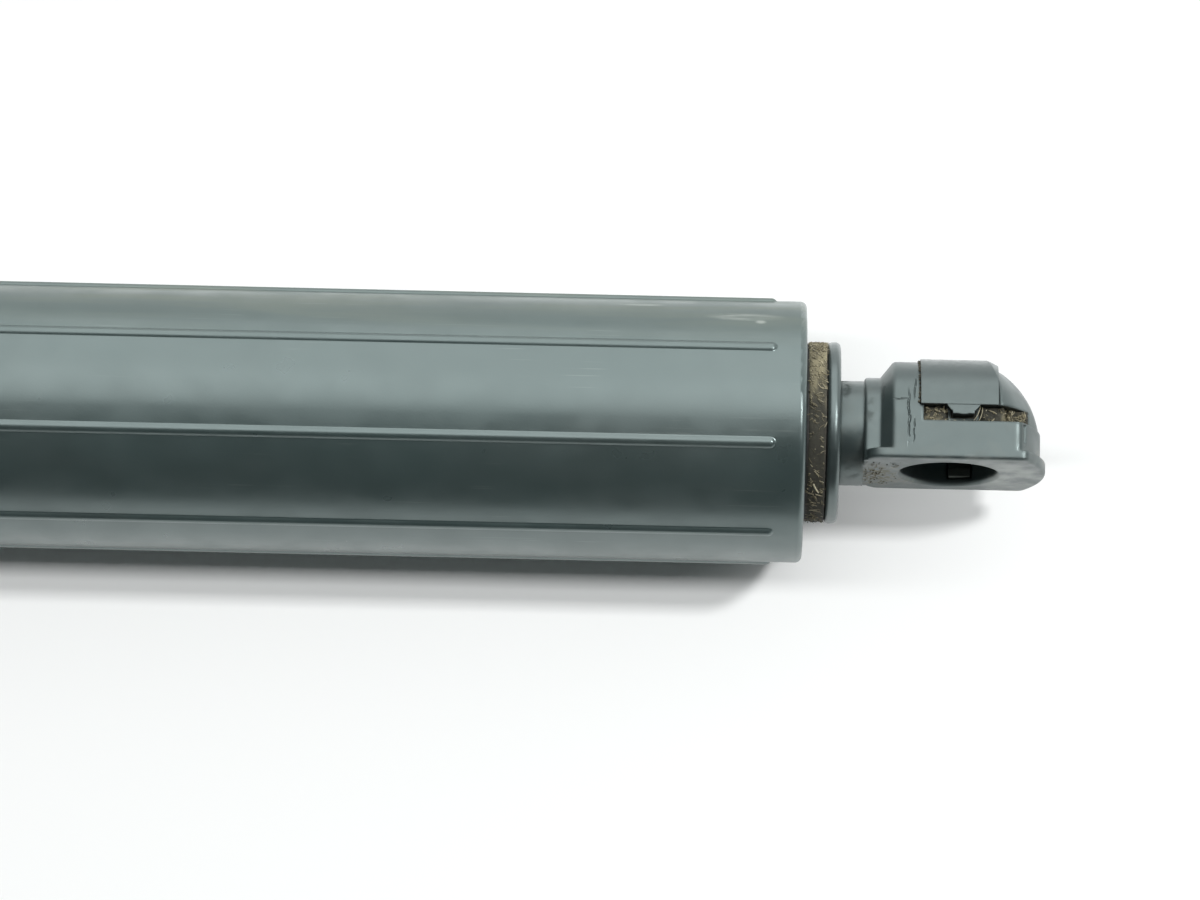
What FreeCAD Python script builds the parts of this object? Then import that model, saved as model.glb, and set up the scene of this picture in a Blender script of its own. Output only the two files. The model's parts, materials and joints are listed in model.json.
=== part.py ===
import FreeCAD, Part
import math
import os

import Sketcher
from FreeCAD import Placement, Rotation, Vector

# Power tailgate strut. A motor and a two-stage planetary gearbox turn a threaded spindle, and its nut
# pushes the outer tube out along the inner one, helped by a long coil spring.
# Millimetres. The origin is the centre of the base ball, +X runs along the strut to the tip, both
# ball sockets open along -Y, and +Z is up. The model is the closed strut.

DIMENSIONS = {
    # the whole strut, from ball centre to ball centre
    "closed_length": 480.0,
    "dead_length": 250.0,
    # clearances
    "seat_gap": 0.02,
    "turning_gap": 0.05,
    "sliding_gap": 0.1,
    "part_gap": 0.3,
    # ribbed cover tube
    "slide_ring_thickness": 1.3,
    "cover_wall": 1.7,
    "cover_start": 116.0,
    "cover_rim_offset": 20.0,
    "cover_rim_round": 0.9,
    "rib_count": 8,
    "rib_first_angle": 18.5,
    "rib_radius": 0.88,
    "rib_height": 0.42,
    "rib_foot_round": 0.25,
    "rib_end_offset": 4.9,
    "wiper_length": 6.0,
    "wiper_lip": 1.5,
    # inner housing tube
    "housing_radius": 15.0,
    "housing_wall": 1.2,
    "housing_end_offset": 80.0,
    "guide_ring_length": 12.0,
    "guide_ring_lip": 1.5,
    # ball socket, seen from the centre of its ball with the tube behind it
    "ball_radius": 6.5,
    "seat_clearance": 0.1,
    "mouth_radius": 6.67,
    "mouth_depth": 5.5,
    "mouth_chamfer": 0.4,
    "block_half_width": 9.4,
    "block_arch_centre": 0.6,
    "block_start": 7.86,
    "ramp_start": 9.65,
    "collar_start": 11.85,
    "collar_half_width": 7.7,
    "neck_start": 15.2,
    "neck_radius": 7.2,
    "dome_radius": 12.0,
    "dome_offset": 0.4,
    "dome_drop": 1.4,
    "band_top": 0.1,
    "band_end": 12.55,
    "band_end_radius": 16.0,
    "band_corner": 1.2,
    "lip_height": 1.4,
    "lip_width": 0.75,
    "foot_end": 11.6,
    "foot_corner": 2.5,
    "block_edge_round": 0.8,
    "collar_edge_round": 0.5,
    "face_edge_round": 0.4,
    "slot_top": 2.15,
    "slot_start": 3.8,
    "slot_depth": 1.5,
    "slot_end": 10.6,
    "slot_end_depth": 4.9,
    "slot_end_start": 7.2,
    "notch_start": 9.9,
    "notch_width": 0.55,
    "notch_bottom": 3.0,
    "notch_depth": 1.2,
    # safety clip that straddles the socket
    "clip_start": 4.2,
    "clip_end": 6.5,
    "clip_end_radius": 12.64,
    "clip_thickness": 0.8,
    "clip_proud": 0.45,
    "tongue_centre": 1.68,
    "tongue_radius": 2.6,
    "tongue_bottom": 0.74,
    "leg_width": 3.0,
    "leg_thickness": 0.7,
    "leg_inside": 7.0,
    "claw_bottom": 4.4,
    "claw_height": 1.2,
    "claw_inside": 5.6,
    "clip_release": 3.0,
    # end plugs, seen from the centre of their ball
    "stud_radius": 4.0,
    "stud_end": 8.6,
    "disc_radius": 12.5,
    "disc_end": 17.1,
    "disc_round": 0.8,
    "ring_core_radius": 10.0,
    "ring_radius": 12.2,
    "ring_end": 19.8,
    "plug_cone_radius": 13.4,
    "plug_face": 20.8,
    "plug_end": 38.0,
    "plug_bore_end": 25.0,
    "cap_start": 23.0,
    "cap_end": 35.0,
    "cap_hollow_radius": 10.2,
    "cap_hollow_start": 24.2,
    "spring_seat_thickness": 2.0,
    # cable grommet, on the underside of the housing tube
    "grommet_place": 27.6,
    "grommet_radius": 3.0,
    "grommet_flange_radius": 4.6,
    "grommet_flange_height": 1.6,
    "grommet_flange_round": 0.72,
    "cable_hole_radius": 2.2,
    # speed sensor board
    "board_place": 31.0,
    "board_thickness": 1.6,
    "board_inset": 2.0,
    "board_hole_radius": 3.0,
    "chip_size": 2.4,
    "chip_height": 0.9,
    "sensor_magnet_start": 34.2,
    "sensor_magnet_length": 3.0,
    "sensor_magnet_radius": 5.5,
    # motor
    "damper_inner_radius": 8.0,
    "bell_start": 38.0,
    "bell_thickness": 4.0,
    "bell_spigot_length": 4.0,
    "bush_seat_wall": 1.6,
    "can_inset": 0.5,
    "can_wall": 1.0,
    "can_front": 99.2,
    "can_front_wall": 1.7,
    "can_boss_radius": 4.0,
    "can_boss_length": 2.8,
    "shaft_radius": 1.5,
    "shaft_start": 33.6,
    "shaft_end": 112.0,
    "bush_radius": 3.0,
    "rear_bush_start": 39.0,
    "bush_length": 4.5,
    "magnet_thickness": 2.0,
    "magnet_angle": 132.0,
    "magnet_overhang": 2.0,
    "core_start": 60.0,
    "core_end": 90.0,
    "air_gap": 0.4,
    "core_hub_radius": 3.4,
    "pole_count": 5,
    "pole_width": 3.2,
    "pole_shoe_thickness": 1.5,
    "pole_slot_angle": 14.0,
    "coil_thickness": 1.3,
    "coil_corner": 1.04,
    "coil_inner_radius": 4.3,
    "coil_overhang": 1.8,
    "commutator_radius": 3.7,
    "commutator_core_radius": 2.7,
    "commutator_start": 48.0,
    "commutator_length": 7.5,
    "segment_count": 10,
    "segment_slit": 0.35,
    "brush_width": 2.6,
    "brush_length": 4.0,
    "brush_height": 4.6,
    "brush_start": 49.5,
    "brush_holder_wall": 0.9,
    # mounting plate between motor and gearbox
    "motor_plate_end": 103.0,
    "motor_screw_count": 2,
    "motor_screw_circle": 8.0,
    "motor_screw_radius": 1.0,
    "motor_screw_head_radius": 1.9,
    "motor_screw_head_height": 1.3,
    "motor_screw_hex_width": 1.3,
    "motor_screw_hex_depth": 0.7,
    "motor_screw_start": 96.0,
    # gearbox
    "ring_wall_modules": 3,
    "sun_teeth": 12,
    "planet_teeth": 18,
    "ring_teeth": 48,
    "planet_count": 3,
    "addendum_share": 0.85,
    "dedendum_share": 1.25,
    "pressure_angle": 20.0,
    "backlash": 0.09,
    "planet_length": 8.8,
    "planet_pin_radius": 1.25,
    "carrier_margin": 3.5,
    "first_carrier_thickness": 2.5,
    "second_carrier_thickness": 3.0,
    "hub_radius": 5.0,
    "hub_end": 143.5,
    "hex_share": 1.5,
    "hex_depth": 9.0,
    "gearbox_cover_start": 129.0,
    "gearbox_cover_end": 134.0,
    "output_bush_radius": 7.0,
    "output_bush_end": 136.0,
    # spindle bearing and its holder
    "holder_start": 138.0,
    "holder_end": 164.0,
    "bearing_start": 145.6,
    "bearing_width": 7.0,
    "holder_wall": 2.8,
    "outer_race_thickness": 1.9,
    "inner_race_thickness": 1.7,
    "bearing_ball_radius": 1.98,
    "bearing_ball_count": 7,
    "cage_thickness": 0.8,
    "cage_length": 5.0,
    "holder_shoulder_height": 1.8,
    "snap_ring_thickness": 1.0,
    "snap_ring_depth": 0.8,
    "snap_ring_height": 1.6,
    "circlip_thickness": 0.9,
    "circlip_depth": 0.5,
    "circlip_height": 1.4,
    # spindle and nut
    "bearing_section": 7.0,
    "thread_step": 1.0,
    "thread_depth": 0.9,
    "thread_start": 155.0,
    "thread_lead": 16.0,
    "thread_starts": 4,
    "thread_crest_angle": 34.0,
    "thread_flank_angle": 12.0,
    "spindle_shoulder_height": 0.6,
    "nut_start": 158.0,
    "nut_length": 18.0,
    "nut_flange_length": 3.0,
    "nut_stop_gap": 1.5,
    "end_guide_length": 6.0,
    "end_journal_share": 0.6,
    "end_screw_radius": 1.5,
    "end_screw_length": 12.0,
    "end_screw_head_margin": 1.2,
    "end_screw_head_height": 2.2,
    # push tube, guide tube and spring
    "push_tube_gap": 0.8,
    "push_wall": 1.3,
    "spring_room": 3.8,
    "guide_wall": 1.2,
    "guide_start": 156.0,
    "guide_end_offset": 6.0,
    "guide_bush_length": 8.0,
    "spring_wire_radius": 1.2,
    "spring_turns": 40,
}

# Places that follow from the dimensions above. Each is a formula of the sheet.
PLACES = {
    "stroke": "dims.closed_length - dims.dead_length",
    "cover_radius": "dims.housing_radius + dims.slide_ring_thickness + dims.cover_wall",
    "housing_end": "dims.closed_length - dims.housing_end_offset",
    "damper_radius": "housing_inner - dims.part_gap",
    "gearbox_radius": "housing_inner - dims.part_gap",
    "can_radius": "damper_radius - dims.can_inset",
    "board_radius": "can_radius - dims.board_inset",
    "gear_module": "gearbox_radius / (dims.ring_teeth / 2 + dims.ring_wall_modules)",
    "carrier_radius": "planet_circle + dims.carrier_margin",
    "bearing_radius": "housing_inner - dims.holder_wall",
    "holder_shoulder_radius": "bearing_radius - dims.holder_shoulder_height",
    "snap_ring_inner_radius": "bearing_radius - dims.snap_ring_height",
    "ball_pitch_radius": "(bearing_radius + journal_radius) / 2",
    "journal_radius": "bearing_radius - dims.bearing_section",
    "thread_radius": "journal_radius + dims.thread_step",
    "spindle_shoulder_radius": "thread_radius + dims.spindle_shoulder_height",
    "hex_width": "journal_radius * dims.hex_share",
    "circlip_radius": "journal_radius + dims.circlip_height",
    "end_journal_radius": "thread_radius * dims.end_journal_share",
    "end_screw_head_radius": "end_journal_radius + dims.end_screw_head_margin",
    "guide_radius": "housing_inner - dims.spring_room",
    "push_radius": "guide_inner - dims.push_tube_gap",
    "spring_radius": "(guide_radius + housing_inner) / 2",
    "cover_inner": "cover_radius - dims.cover_wall",
    "cover_end": "dims.closed_length - dims.cover_rim_offset",
    "housing_inner": "dims.housing_radius - dims.housing_wall",
    "cavity": "dims.ball_radius + dims.seat_clearance",
    "slot_floor": "dims.block_half_width - dims.slot_depth",
    "band_centre": "dims.band_end - dims.band_end_radius",
    "clip_outer": "dims.block_half_width + dims.clip_proud",
    "clip_inner": "clip_outer - dims.clip_thickness",
    "leg_outer": "dims.leg_inside + dims.leg_thickness",
    "tongue_height": "dims.tongue_bottom + dims.tongue_radius",
    "plug_inner_end": "dims.closed_length - dims.plug_end",
    "spring_start": "dims.holder_end + dims.spring_seat_thickness",
    "spring_end": "plug_inner_end - dims.spring_seat_thickness",
    "can_inner": "can_radius - dims.can_wall",
    "bell_spigot_end": "dims.bell_start + dims.bell_thickness + dims.bell_spigot_length",
    "can_start": "dims.bell_start + dims.bell_thickness",
    "magnet_inner": "can_inner - dims.seat_gap - dims.magnet_thickness",
    "core_radius": "magnet_inner - dims.air_gap",
    "shoe_inner": "core_radius - dims.pole_shoe_thickness",
    "coil_half_width": "dims.pole_width / 2 + dims.seat_gap + dims.coil_thickness",
    "coil_outer": "sqrt(shoe_inner ^ 2 - coil_half_width ^ 2) - dims.seat_gap",
    "front_bush_start": "dims.can_front + dims.can_boss_length - dims.bush_length",
    "bearing_end": "dims.bearing_start + dims.bearing_width",
    "planet_circle": "gear_module * (dims.sun_teeth + dims.planet_teeth) / 2",
    "first_planet_start": "dims.motor_plate_end + dims.part_gap",
    "first_carrier_start": "first_planet_start + dims.planet_length + dims.part_gap",
    "first_carrier_end": "first_carrier_start + dims.first_carrier_thickness",
    "second_planet_start": "first_carrier_end + dims.part_gap",
    "second_carrier_start": "second_planet_start + dims.planet_length + dims.part_gap",
    "second_carrier_end": "second_carrier_start + dims.second_carrier_thickness",
    "hex_start": "dims.hub_end - dims.hex_depth",
    "nut_end": "dims.nut_start + dims.nut_length",
    "thread_end": "nut_end + stroke + dims.nut_stop_gap",
    "spindle_end": "thread_end + dims.end_guide_length",
    "push_start": "dims.nut_start + dims.nut_flange_length",
    "push_inner": "push_radius - dims.push_wall",
    "push_end": "dims.closed_length - dims.plug_bore_end",
    "guide_inner": "guide_radius - dims.guide_wall",
    "guide_end": "plug_inner_end - dims.guide_end_offset",
}

doc = FreeCAD.newDocument("strut")


def fill_sheet(name, cells):
    """Make a sheet whose cells are named, one row each, and return it."""
    sheet = doc.addObject("Spreadsheet::Sheet", name)
    for row, (alias, content) in enumerate(cells.items(), 1):
        sheet.set("A%d" % row, alias)
        sheet.set("B%d" % row, content)
        sheet.setAlias("B%d" % row, alias)
    doc.recompute()
    return sheet


dims = fill_sheet("dims", {name: "%g" % size for name, size in DIMENSIONS.items()})
places = fill_sheet("places", {name: "=" + formula for name, formula in PLACES.items()})


def number(formula):
    """The present value of a formula of the two sheets."""
    if isinstance(formula, (int, float)):
        return float(formula)
    result = places.evalExpression(formula)
    return float(getattr(result, "Value", result))


def bind(thing, target, formula):
    """Tie one property of an object to a formula, or leave it at zero where the formula is 0."""
    if formula != "0":
        thing.setExpression(target, formula)


# Plain solids whose sizes and places are formulas

def move(thing, x="0", y="0", z="0"):
    bind(thing, "Placement.Base.x", x)
    bind(thing, "Placement.Base.y", y)
    bind(thing, "Placement.Base.z", z)
    return thing


def box(label, x, y, z):
    """A box between the two formulas of each axis."""
    block = doc.addObject("Part::Box", label)
    for side, (low, high) in zip(("Length", "Width", "Height"), (x, y, z)):
        block.setExpression(side, "(%s) - (%s)" % (high, low))
    return move(block, x[0], y[0], z[0])


AXIS_TURNS = {
    "x": Rotation(Vector(0, 1, 0), 90),
    "y": Rotation(Vector(1, 0, 0), -90),
    "z": Rotation(),
}


def rod(label, axis, radius, low, high, across=("0", "0")):
    """A cylinder along an axis, from low to high, with its centre line at the two other coordinates."""
    bar = doc.addObject("Part::Cylinder", label)
    bar.setExpression("Radius", radius)
    bar.setExpression("Height", "(%s) - (%s)" % (high, low))
    bar.Placement.Rotation = AXIS_TURNS[axis]
    spot = {"x": (low, *across), "y": (across[0], low, across[1]), "z": (*across, low)}[axis]
    return move(bar, *spot)


def ball(label, radius, x="0", y="0", z="0"):
    globe = doc.addObject("Part::Sphere", label)
    globe.setExpression("Radius", radius)
    return move(globe, x, y, z)


def fuse(label, *things):
    joined = doc.addObject("Part::MultiFuse", label)
    joined.Shapes = list(things)
    joined.Refine = True
    return joined


def common(label, *things):
    shared = doc.addObject("Part::MultiCommon", label)
    shared.Shapes = list(things)
    return shared


def cut(label, base, *tools):
    rest = doc.addObject("Part::Cut", label)
    rest.Base = base
    rest.Tool = tools[0] if len(tools) == 1 else fuse(label + "_tools", *tools)
    rest.Refine = True
    return rest


def round_off(label, base, picks):
    """Fillet the edges of an object. picks holds (radius formula, function that chooses edges)."""
    doc.recompute()
    rounded = doc.addObject("Part::Fillet", label)
    rounded.Base = base
    edges = []
    for radius, chosen in picks:
        size = number(radius)
        for index, edge in enumerate(base.Shape.Edges, 1):
            if chosen(edge):
                edges.append((index, size, size))
    rounded.Edges = edges
    return rounded


# Turned solids, each a sketch of (x, radius) corners that is revolved about X

def origin_plane(body, role):
    return next(f for f in body.Origin.OriginFeatures if f.Role == role)


def turned(label, corners):
    body = doc.addObject("PartDesign::Body", label)
    sketch = body.newObject("Sketcher::SketchObject", label + "_profile")
    sketch.AttachmentSupport = [(origin_plane(body, "XY_Plane"), "")]
    sketch.MapMode = "FlatFace"
    spots = [Vector(number(x), number(radius), 0) for x, radius in corners]
    count = len(corners)
    for index, spot in enumerate(spots):
        sketch.addGeometry(Part.LineSegment(spot, spots[(index + 1) % count]), False)
    for index in range(count):
        sketch.addConstraint(Sketcher.Constraint("Coincident", index, 2, (index + 1) % count, 1))
    for index, corner in enumerate(corners):
        for kind, axis, formula, size in zip(
            ("DistanceX", "DistanceY"), (-2, -1), corner, (spots[index].x, spots[index].y)
        ):
            if formula == "0":
                sketch.addConstraint(Sketcher.Constraint("PointOnObject", index, 1, axis))
                continue
            place = sketch.addConstraint(Sketcher.Constraint(kind, -1, 1, index, 1, size))
            name = "%s%d" % (kind[-1].lower(), index)
            sketch.renameConstraint(place, name)
            sketch.setExpression("Constraints." + name, formula)
    spin = body.newObject("PartDesign::Revolution", label + "_turning")
    spin.Profile = sketch
    spin.ReferenceAxis = (sketch, ["H_Axis"])
    spin.Angle = 360
    body.Tip = spin
    doc.recompute()
    return body


def sleeve(label, inner, outer, start, end):
    """A plain ring or tube between two radii."""
    return turned(label, [(start, inner), (end, inner), (end, outer), (start, outer)])


def round_rims(body, radius, rims):
    """Fillet circular edges of a turned body, each given by its (x, radius) formulas."""
    wanted = [(number(x), number(r)) for x, r in rims]
    names = []
    turned_solid = body.Tip
    for index, edge in enumerate(turned_solid.Shape.Edges, 1):
        curve = edge.Curve
        if curve.TypeId != "Part::GeomCircle":
            continue
        for x, r in wanted:
            if abs(curve.Center.x - x) < 1e-4 and abs(curve.Radius - r) < 1e-4:
                names.append("Edge%d" % index)
    fillet = body.newObject("PartDesign::Fillet", body.Name + "_rims")
    fillet.Base = (turned_solid, names)
    fillet.setExpression("Radius", radius)
    body.Tip = fillet
    doc.recompute()


def arch(label, x, half_width, centre, bottom):
    """A sketch across the strut: a half circle on a straight-sided foot."""
    sketch = doc.addObject("Sketcher::SketchObject", label)
    sketch.Placement.Rotation = AXIS_TURNS["x"]
    move(sketch, x)
    wide, high, low = number(half_width), number(centre), number(bottom)
    circle = Part.Circle(Vector(0, high, 0), Vector(0, 0, 1), wide)
    corners = [Vector(-wide, high, 0), Vector(-wide, low, 0), Vector(wide, low, 0), Vector(wide, high, 0)]
    sketch.addGeometry(Part.ArcOfCircle(circle, 0, math.pi), False)
    for start, end in zip(corners, corners[1:]):
        sketch.addGeometry(Part.LineSegment(start, end), False)
    for first, second in ((0, 1), (1, 2), (2, 3)):
        sketch.addConstraint(Sketcher.Constraint("Coincident", first, 2, second, 1))
    sketch.addConstraint(Sketcher.Constraint("Coincident", 3, 2, 0, 1))
    sketch.addConstraint(Sketcher.Constraint("PointOnObject", 0, 3, -2))
    sketch.addConstraint(Sketcher.Constraint("Vertical", 1))
    sketch.addConstraint(Sketcher.Constraint("Horizontal", 2))
    sketch.addConstraint(Sketcher.Constraint("Vertical", 3))
    sketch.addConstraint(Sketcher.Constraint("Horizontal", 0, 1, 0, 3))
    sizes = (
        ("Radius", (0,), wide, half_width),
        ("DistanceY", (-1, 1, 0, 3), high, centre),
        ("DistanceY", (-1, 1, 1, 2), low, bottom),
    )
    for kind, points, size, formula in sizes:
        if formula == "0":
            sketch.addConstraint(Sketcher.Constraint("PointOnObject", 0, 3, -1))
            continue
        place = sketch.addConstraint(Sketcher.Constraint(kind, *points, size))
        sketch.setExpression("Constraints[%d]" % place, formula)
    return sketch


def loft(label, sections):
    skin = doc.addObject("Part::Loft", label)
    skin.Sections = sections
    skin.Solid = True
    skin.Ruled = True
    return skin


# Ball sockets and their clips, built about the centre of the ball with the tube towards -X

def socket(end):
    """The moulded ball socket of one end: a round-topped block with a cavity, slots and a neck."""
    name = lambda piece: end + "_" + piece
    foot = "-dims.mouth_depth"
    wide = "dims.block_half_width"
    sections = [
        arch(name("collar_back"), "-dims.collar_start", "dims.collar_half_width", "0", foot),
        arch(name("collar_front"), "-dims.ramp_start", "dims.collar_half_width", "0", foot),
        arch(name("block_back"), "-dims.block_start", wide, "dims.block_arch_centre", foot),
        arch(name("block_front"), "dims.band_end", wide, "dims.block_arch_centre", foot),
    ]
    barrel = loft(name("barrel"), sections)
    reach = "(dims.band_end_radius + dims.lip_width)"
    behind = box(name("behind"), ("-" + reach, "0"), ("-" + reach, reach), ("-" + reach, reach))
    dome = ball(name("dome"), "dims.dome_radius", "dims.dome_offset", "-dims.dome_drop")
    domed = common(name("domed"), barrel, fuse(name("dome_and_behind"), behind, dome))

    def section_edge(place):
        """A test for the edges of the cross-section at a place, leaving out its foot."""
        x, low = number(place), number(foot)
        return lambda edge: (abs(edge.BoundBox.XMax - x) < 1e-3 and abs(edge.BoundBox.XMin - x) < 1e-3
                             and edge.BoundBox.YMax - low > 0.1)

    upper = round_off(name("upper"), domed, [
        ("dims.block_edge_round", section_edge("-dims.block_start")),
        ("dims.collar_edge_round", section_edge("-dims.collar_start")),
    ])
    upright = lambda edge: abs(edge.tangentAt(edge.FirstParameter).y) > 0.99

    def band_layer(layer, low, high, grown):
        """One layer of the foot, with flat sides and a round end."""
        slab = box(name(layer + "_slab"), ("0", reach), (low, high), ("-" + wide, wide))
        disc = rod(name(layer + "_disc"), "y", "dims.band_end_radius + " + grown, low, high,
                   ("places.band_centre", "0"))
        blank = common(name(layer + "_blank"), slab, disc)
        return round_off(name(layer), blank, [
            ("dims.band_corner", lambda edge: upright(edge) and edge.CenterOfMass.x > 0.01)])

    band = band_layer("band", foot, "-dims.band_top", "0")
    lip = band_layer("lip", foot, foot + " + dims.lip_height", "dims.lip_width")
    foot_slab = box(name("foot_slab"), ("-dims.foot_end", "0"), (foot, foot + " + dims.lip_height"),
                    ("-" + wide, wide))
    back = number("dims.foot_end")
    foot_plate = round_off(name("foot_plate"), foot_slab, [
        ("dims.foot_corner", lambda edge: upright(edge) and edge.CenterOfMass.x < 0.01 - back)])
    neck = rod(name("neck"), "x", "dims.neck_radius", "-dims.neck_start", "-dims.collar_start")
    blank = fuse(name("socket_blank"), upper, band, lip, foot_plate, neck)
    low, side = number(foot), number(wide) - number("dims.foot_corner") / 2

    def on_outline(edge):
        """Whether an edge is on the outer sides of the face that the mouth opens in."""
        if abs(edge.BoundBox.YMin - low) > 1e-3 or abs(edge.BoundBox.YMax - low) > 1e-3:
            return False
        return max(abs(v.Z) for v in edge.Vertexes) > side or min(v.X for v in edge.Vertexes) > 0

    body = round_off(name("socket_body"), blank, [("dims.face_edge_round", on_outline)])

    cavity = ball(name("cavity"), "places.cavity")
    mouth = rod(name("mouth"), "y", "dims.mouth_radius", foot, "0")
    flare = doc.addObject("Part::Cone", name("mouth_flare"))
    flare.setExpression("Radius1", "dims.mouth_radius + dims.mouth_chamfer")
    flare.setExpression("Radius2", "dims.mouth_radius")
    flare.setExpression("Height", "dims.mouth_chamfer")
    flare.Placement.Rotation = AXIS_TURNS["y"]
    move(flare, "0", foot)
    bore = rod(name("stud_bore"), "x", "dims.stud_radius + dims.seat_gap",
               "-dims.neck_start", "-dims.stud_end + dims.seat_gap")
    tools = [cavity, mouth, flare, bore, clip_seat(name("clip_seat"))]
    high = "dims.slot_top + dims.clip_release + dims.sliding_gap"
    leg_side = "(dims.leg_width / 2 + 2 * dims.sliding_gap)"
    leg_span = ("dims.tongue_centre - " + leg_side, "dims.tongue_centre + " + leg_side)
    leg_back = "places.leg_outer + dims.sliding_gap"
    claw_front = "dims.claw_inside - 4 * dims.sliding_gap"
    far = "2 * " + wide
    cuts = {
        "slot": (("-dims.slot_start", "dims.slot_end"), ("-dims.band_top", "dims.slot_top"),
                 ("places.slot_floor", far)),
        "slot_tail": (("dims.slot_end_start", "dims.slot_end"), ("-dims.band_top", "dims.slot_top"),
                      ("dims.block_half_width - dims.slot_end_depth", far)),
        "window": (leg_span, ("dims.tongue_bottom - 2 * dims.sliding_gap", high),
                   ("dims.leg_inside - dims.sliding_gap", far)),
        "claw_pocket": (leg_span, ("-dims.claw_bottom - 2 * dims.sliding_gap", "dims.sliding_gap"),
                        (claw_front, leg_back)),
        "leg_pocket": (leg_span, ("0", high), ("dims.leg_inside - dims.sliding_gap", leg_back)),
        "notch": (("dims.notch_start", "dims.notch_start + dims.notch_width"),
                  ("-dims.notch_bottom", "-3 * dims.band_top"),
                  (wide + " - dims.notch_depth", far)),
    }
    for label, (x, y, (near, away)) in cuts.items():
        tools.append(box(name(label + "_above"), x, y, (near, away)))
        tools.append(box(name(label + "_below"), x, y, ("-(%s)" % away, "-(%s)" % near)))
    return cut(name("socket"), body, *tools)


def strap(label, inner, outer, grown, bottom):
    """The part of a clip that follows the round top of the block, down to a height."""
    centre = "dims.block_arch_centre"
    low, high = "-dims.clip_start - " + grown, "dims.clip_end + " + grown
    outside = rod(label + "_outside", "x", outer, low, high, (centre, "0"))
    inside = rod(label + "_inside", "x", inner, low, high, (centre, "0"))
    shell = cut(label + "_shell", outside, inside)
    edge = ball(label + "_edge", "dims.clip_end_radius + " + grown, "dims.dome_offset", "-dims.dome_drop")
    side = "2 * dims.block_half_width"
    over = box(label + "_over", ("-" + side, side), (bottom, side), ("-" + side, side))
    return common(label, shell, edge, over)


def clip_seat(label):
    """The recess that the clip's strap lies in."""
    return strap(label, "places.clip_inner - dims.sliding_gap", "2 * places.clip_outer",
                 "dims.sliding_gap", "dims.slot_top - dims.sliding_gap")


def clip(end):
    """The sprung safety clip: a strap over the block, a tongue, and two hooked legs inside."""
    name = lambda piece: end + "_clip_" + piece
    arc = strap(name("strap"), "places.clip_inner", "places.clip_outer", "0", "dims.slot_top")
    pieces = [arc]
    half = "dims.leg_width / 2"
    span = ("dims.tongue_centre - " + half, "dims.tongue_centre + " + half)
    claw_top = "-dims.claw_bottom + dims.claw_height"
    # the tongue's flat faces lie inside the strap's curved ones where the two meet
    strap_side = "sqrt(places.clip_outer ^ 2 - (dims.slot_top - dims.block_arch_centre) ^ 2)"
    outside = strap_side + " - dims.sliding_gap / 2"
    for side, sign in (("above", 1), ("below", -1)):
        def across(near, away, sign=sign):
            return (near, away) if sign > 0 else ("-(%s)" % away, "-(%s)" % near)

        disc_z = across("places.clip_inner - dims.sliding_gap / 2", outside)
        disc = rod(name("tongue_disc_" + side), "z", "dims.tongue_radius", *disc_z,
                   ("dims.tongue_centre", "places.tongue_height"))
        lower = box(name("tongue_limit_" + side), ("-dims.clip_start", "dims.clip_end"),
                    ("0", "dims.slot_top + dims.clip_thickness / 2"), disc_z)
        pieces.append(common(name("tongue_" + side), disc, lower))
        bridge_bottom = "dims.tongue_bottom + dims.sliding_gap"
        pieces.append(box(name("bridge_" + side), span, (bridge_bottom, "dims.slot_top"),
                          across("dims.leg_inside", outside)))
        pieces.append(box(name("leg_" + side), span, ("-dims.claw_bottom", "dims.slot_top"),
                          across("dims.leg_inside", "places.leg_outer")))
        pieces.append(box(name("claw_" + side), span, ("-dims.claw_bottom", claw_top),
                          across("dims.claw_inside", "places.leg_outer")))
    whole = fuse(name("whole"), *pieces)
    return cut(end + "_clip", whole, ball(name("ball_room"), "places.cavity"))


def place_end(thing, end):
    """Stand an end fitting on its ball, the base one turned half round so that its tube is at +X."""
    if end == "base":
        thing.Placement = Placement(Vector(), Rotation(Vector(0, 1, 0), 180))
    else:
        move(thing, "dims.closed_length")
    return thing


# Gears: each flank is an arc through three points of its involute

def involute_angle(base_radius, radius):
    """The angle that the involute has turned through where it reaches a radius."""
    slope = math.acos(min(1.0, base_radius / radius))
    return math.tan(slope) - slope


def gear_outline(teeth, phase, internal=False):
    """The closed outline of a gear's teeth in the plane of Y and Z, a tooth or gap at the phase angle."""
    size = number("places.gear_module")
    pitch = size * teeth / 2
    slope = math.radians(number("dims.pressure_angle"))
    base = pitch * math.cos(slope)
    out, back = number("dims.addendum_share"), number("dims.dedendum_share")
    if internal:
        out, back = back, out
    tip, root = pitch + size * out, pitch - size * back
    play = number("dims.backlash") / (2 * pitch) * (-1 if internal else 1)

    def half_angle(radius):
        reach = involute_angle(base, pitch) - involute_angle(base, max(radius, base))
        return math.pi / (2 * teeth) - play / 2 + reach

    def spot(radius, angle):
        return Vector(0, radius * math.cos(angle), radius * math.sin(angle))

    start = max(root, base)
    edges = []
    step = 2 * math.pi / teeth
    for tooth in range(teeth):
        middle = phase + tooth * step
        rise = [spot(r, middle - half_angle(r)) for r in (start, (start + tip) / 2, tip)]
        fall = [spot(r, middle + half_angle(r)) for r in (tip, (start + tip) / 2, start)]
        foot_in = spot(root, middle - half_angle(start))
        foot_out = spot(root, middle + half_angle(start))
        if root < start - 1e-6:
            edges.append(Part.LineSegment(foot_in, rise[0]).toShape())
        edges.append(Part.Arc(*rise).toShape())
        edges.append(Part.Arc(rise[2], spot(tip, middle), fall[0]).toShape())
        edges.append(Part.Arc(*fall).toShape())
        if root < start - 1e-6:
            edges.append(Part.LineSegment(fall[2], foot_out).toShape())
        next_foot = spot(root, middle + step - half_angle(start))
        edges.append(Part.Arc(foot_out, spot(root, middle + step / 2), next_foot).toShape())
    return Part.Wire(edges)


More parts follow.
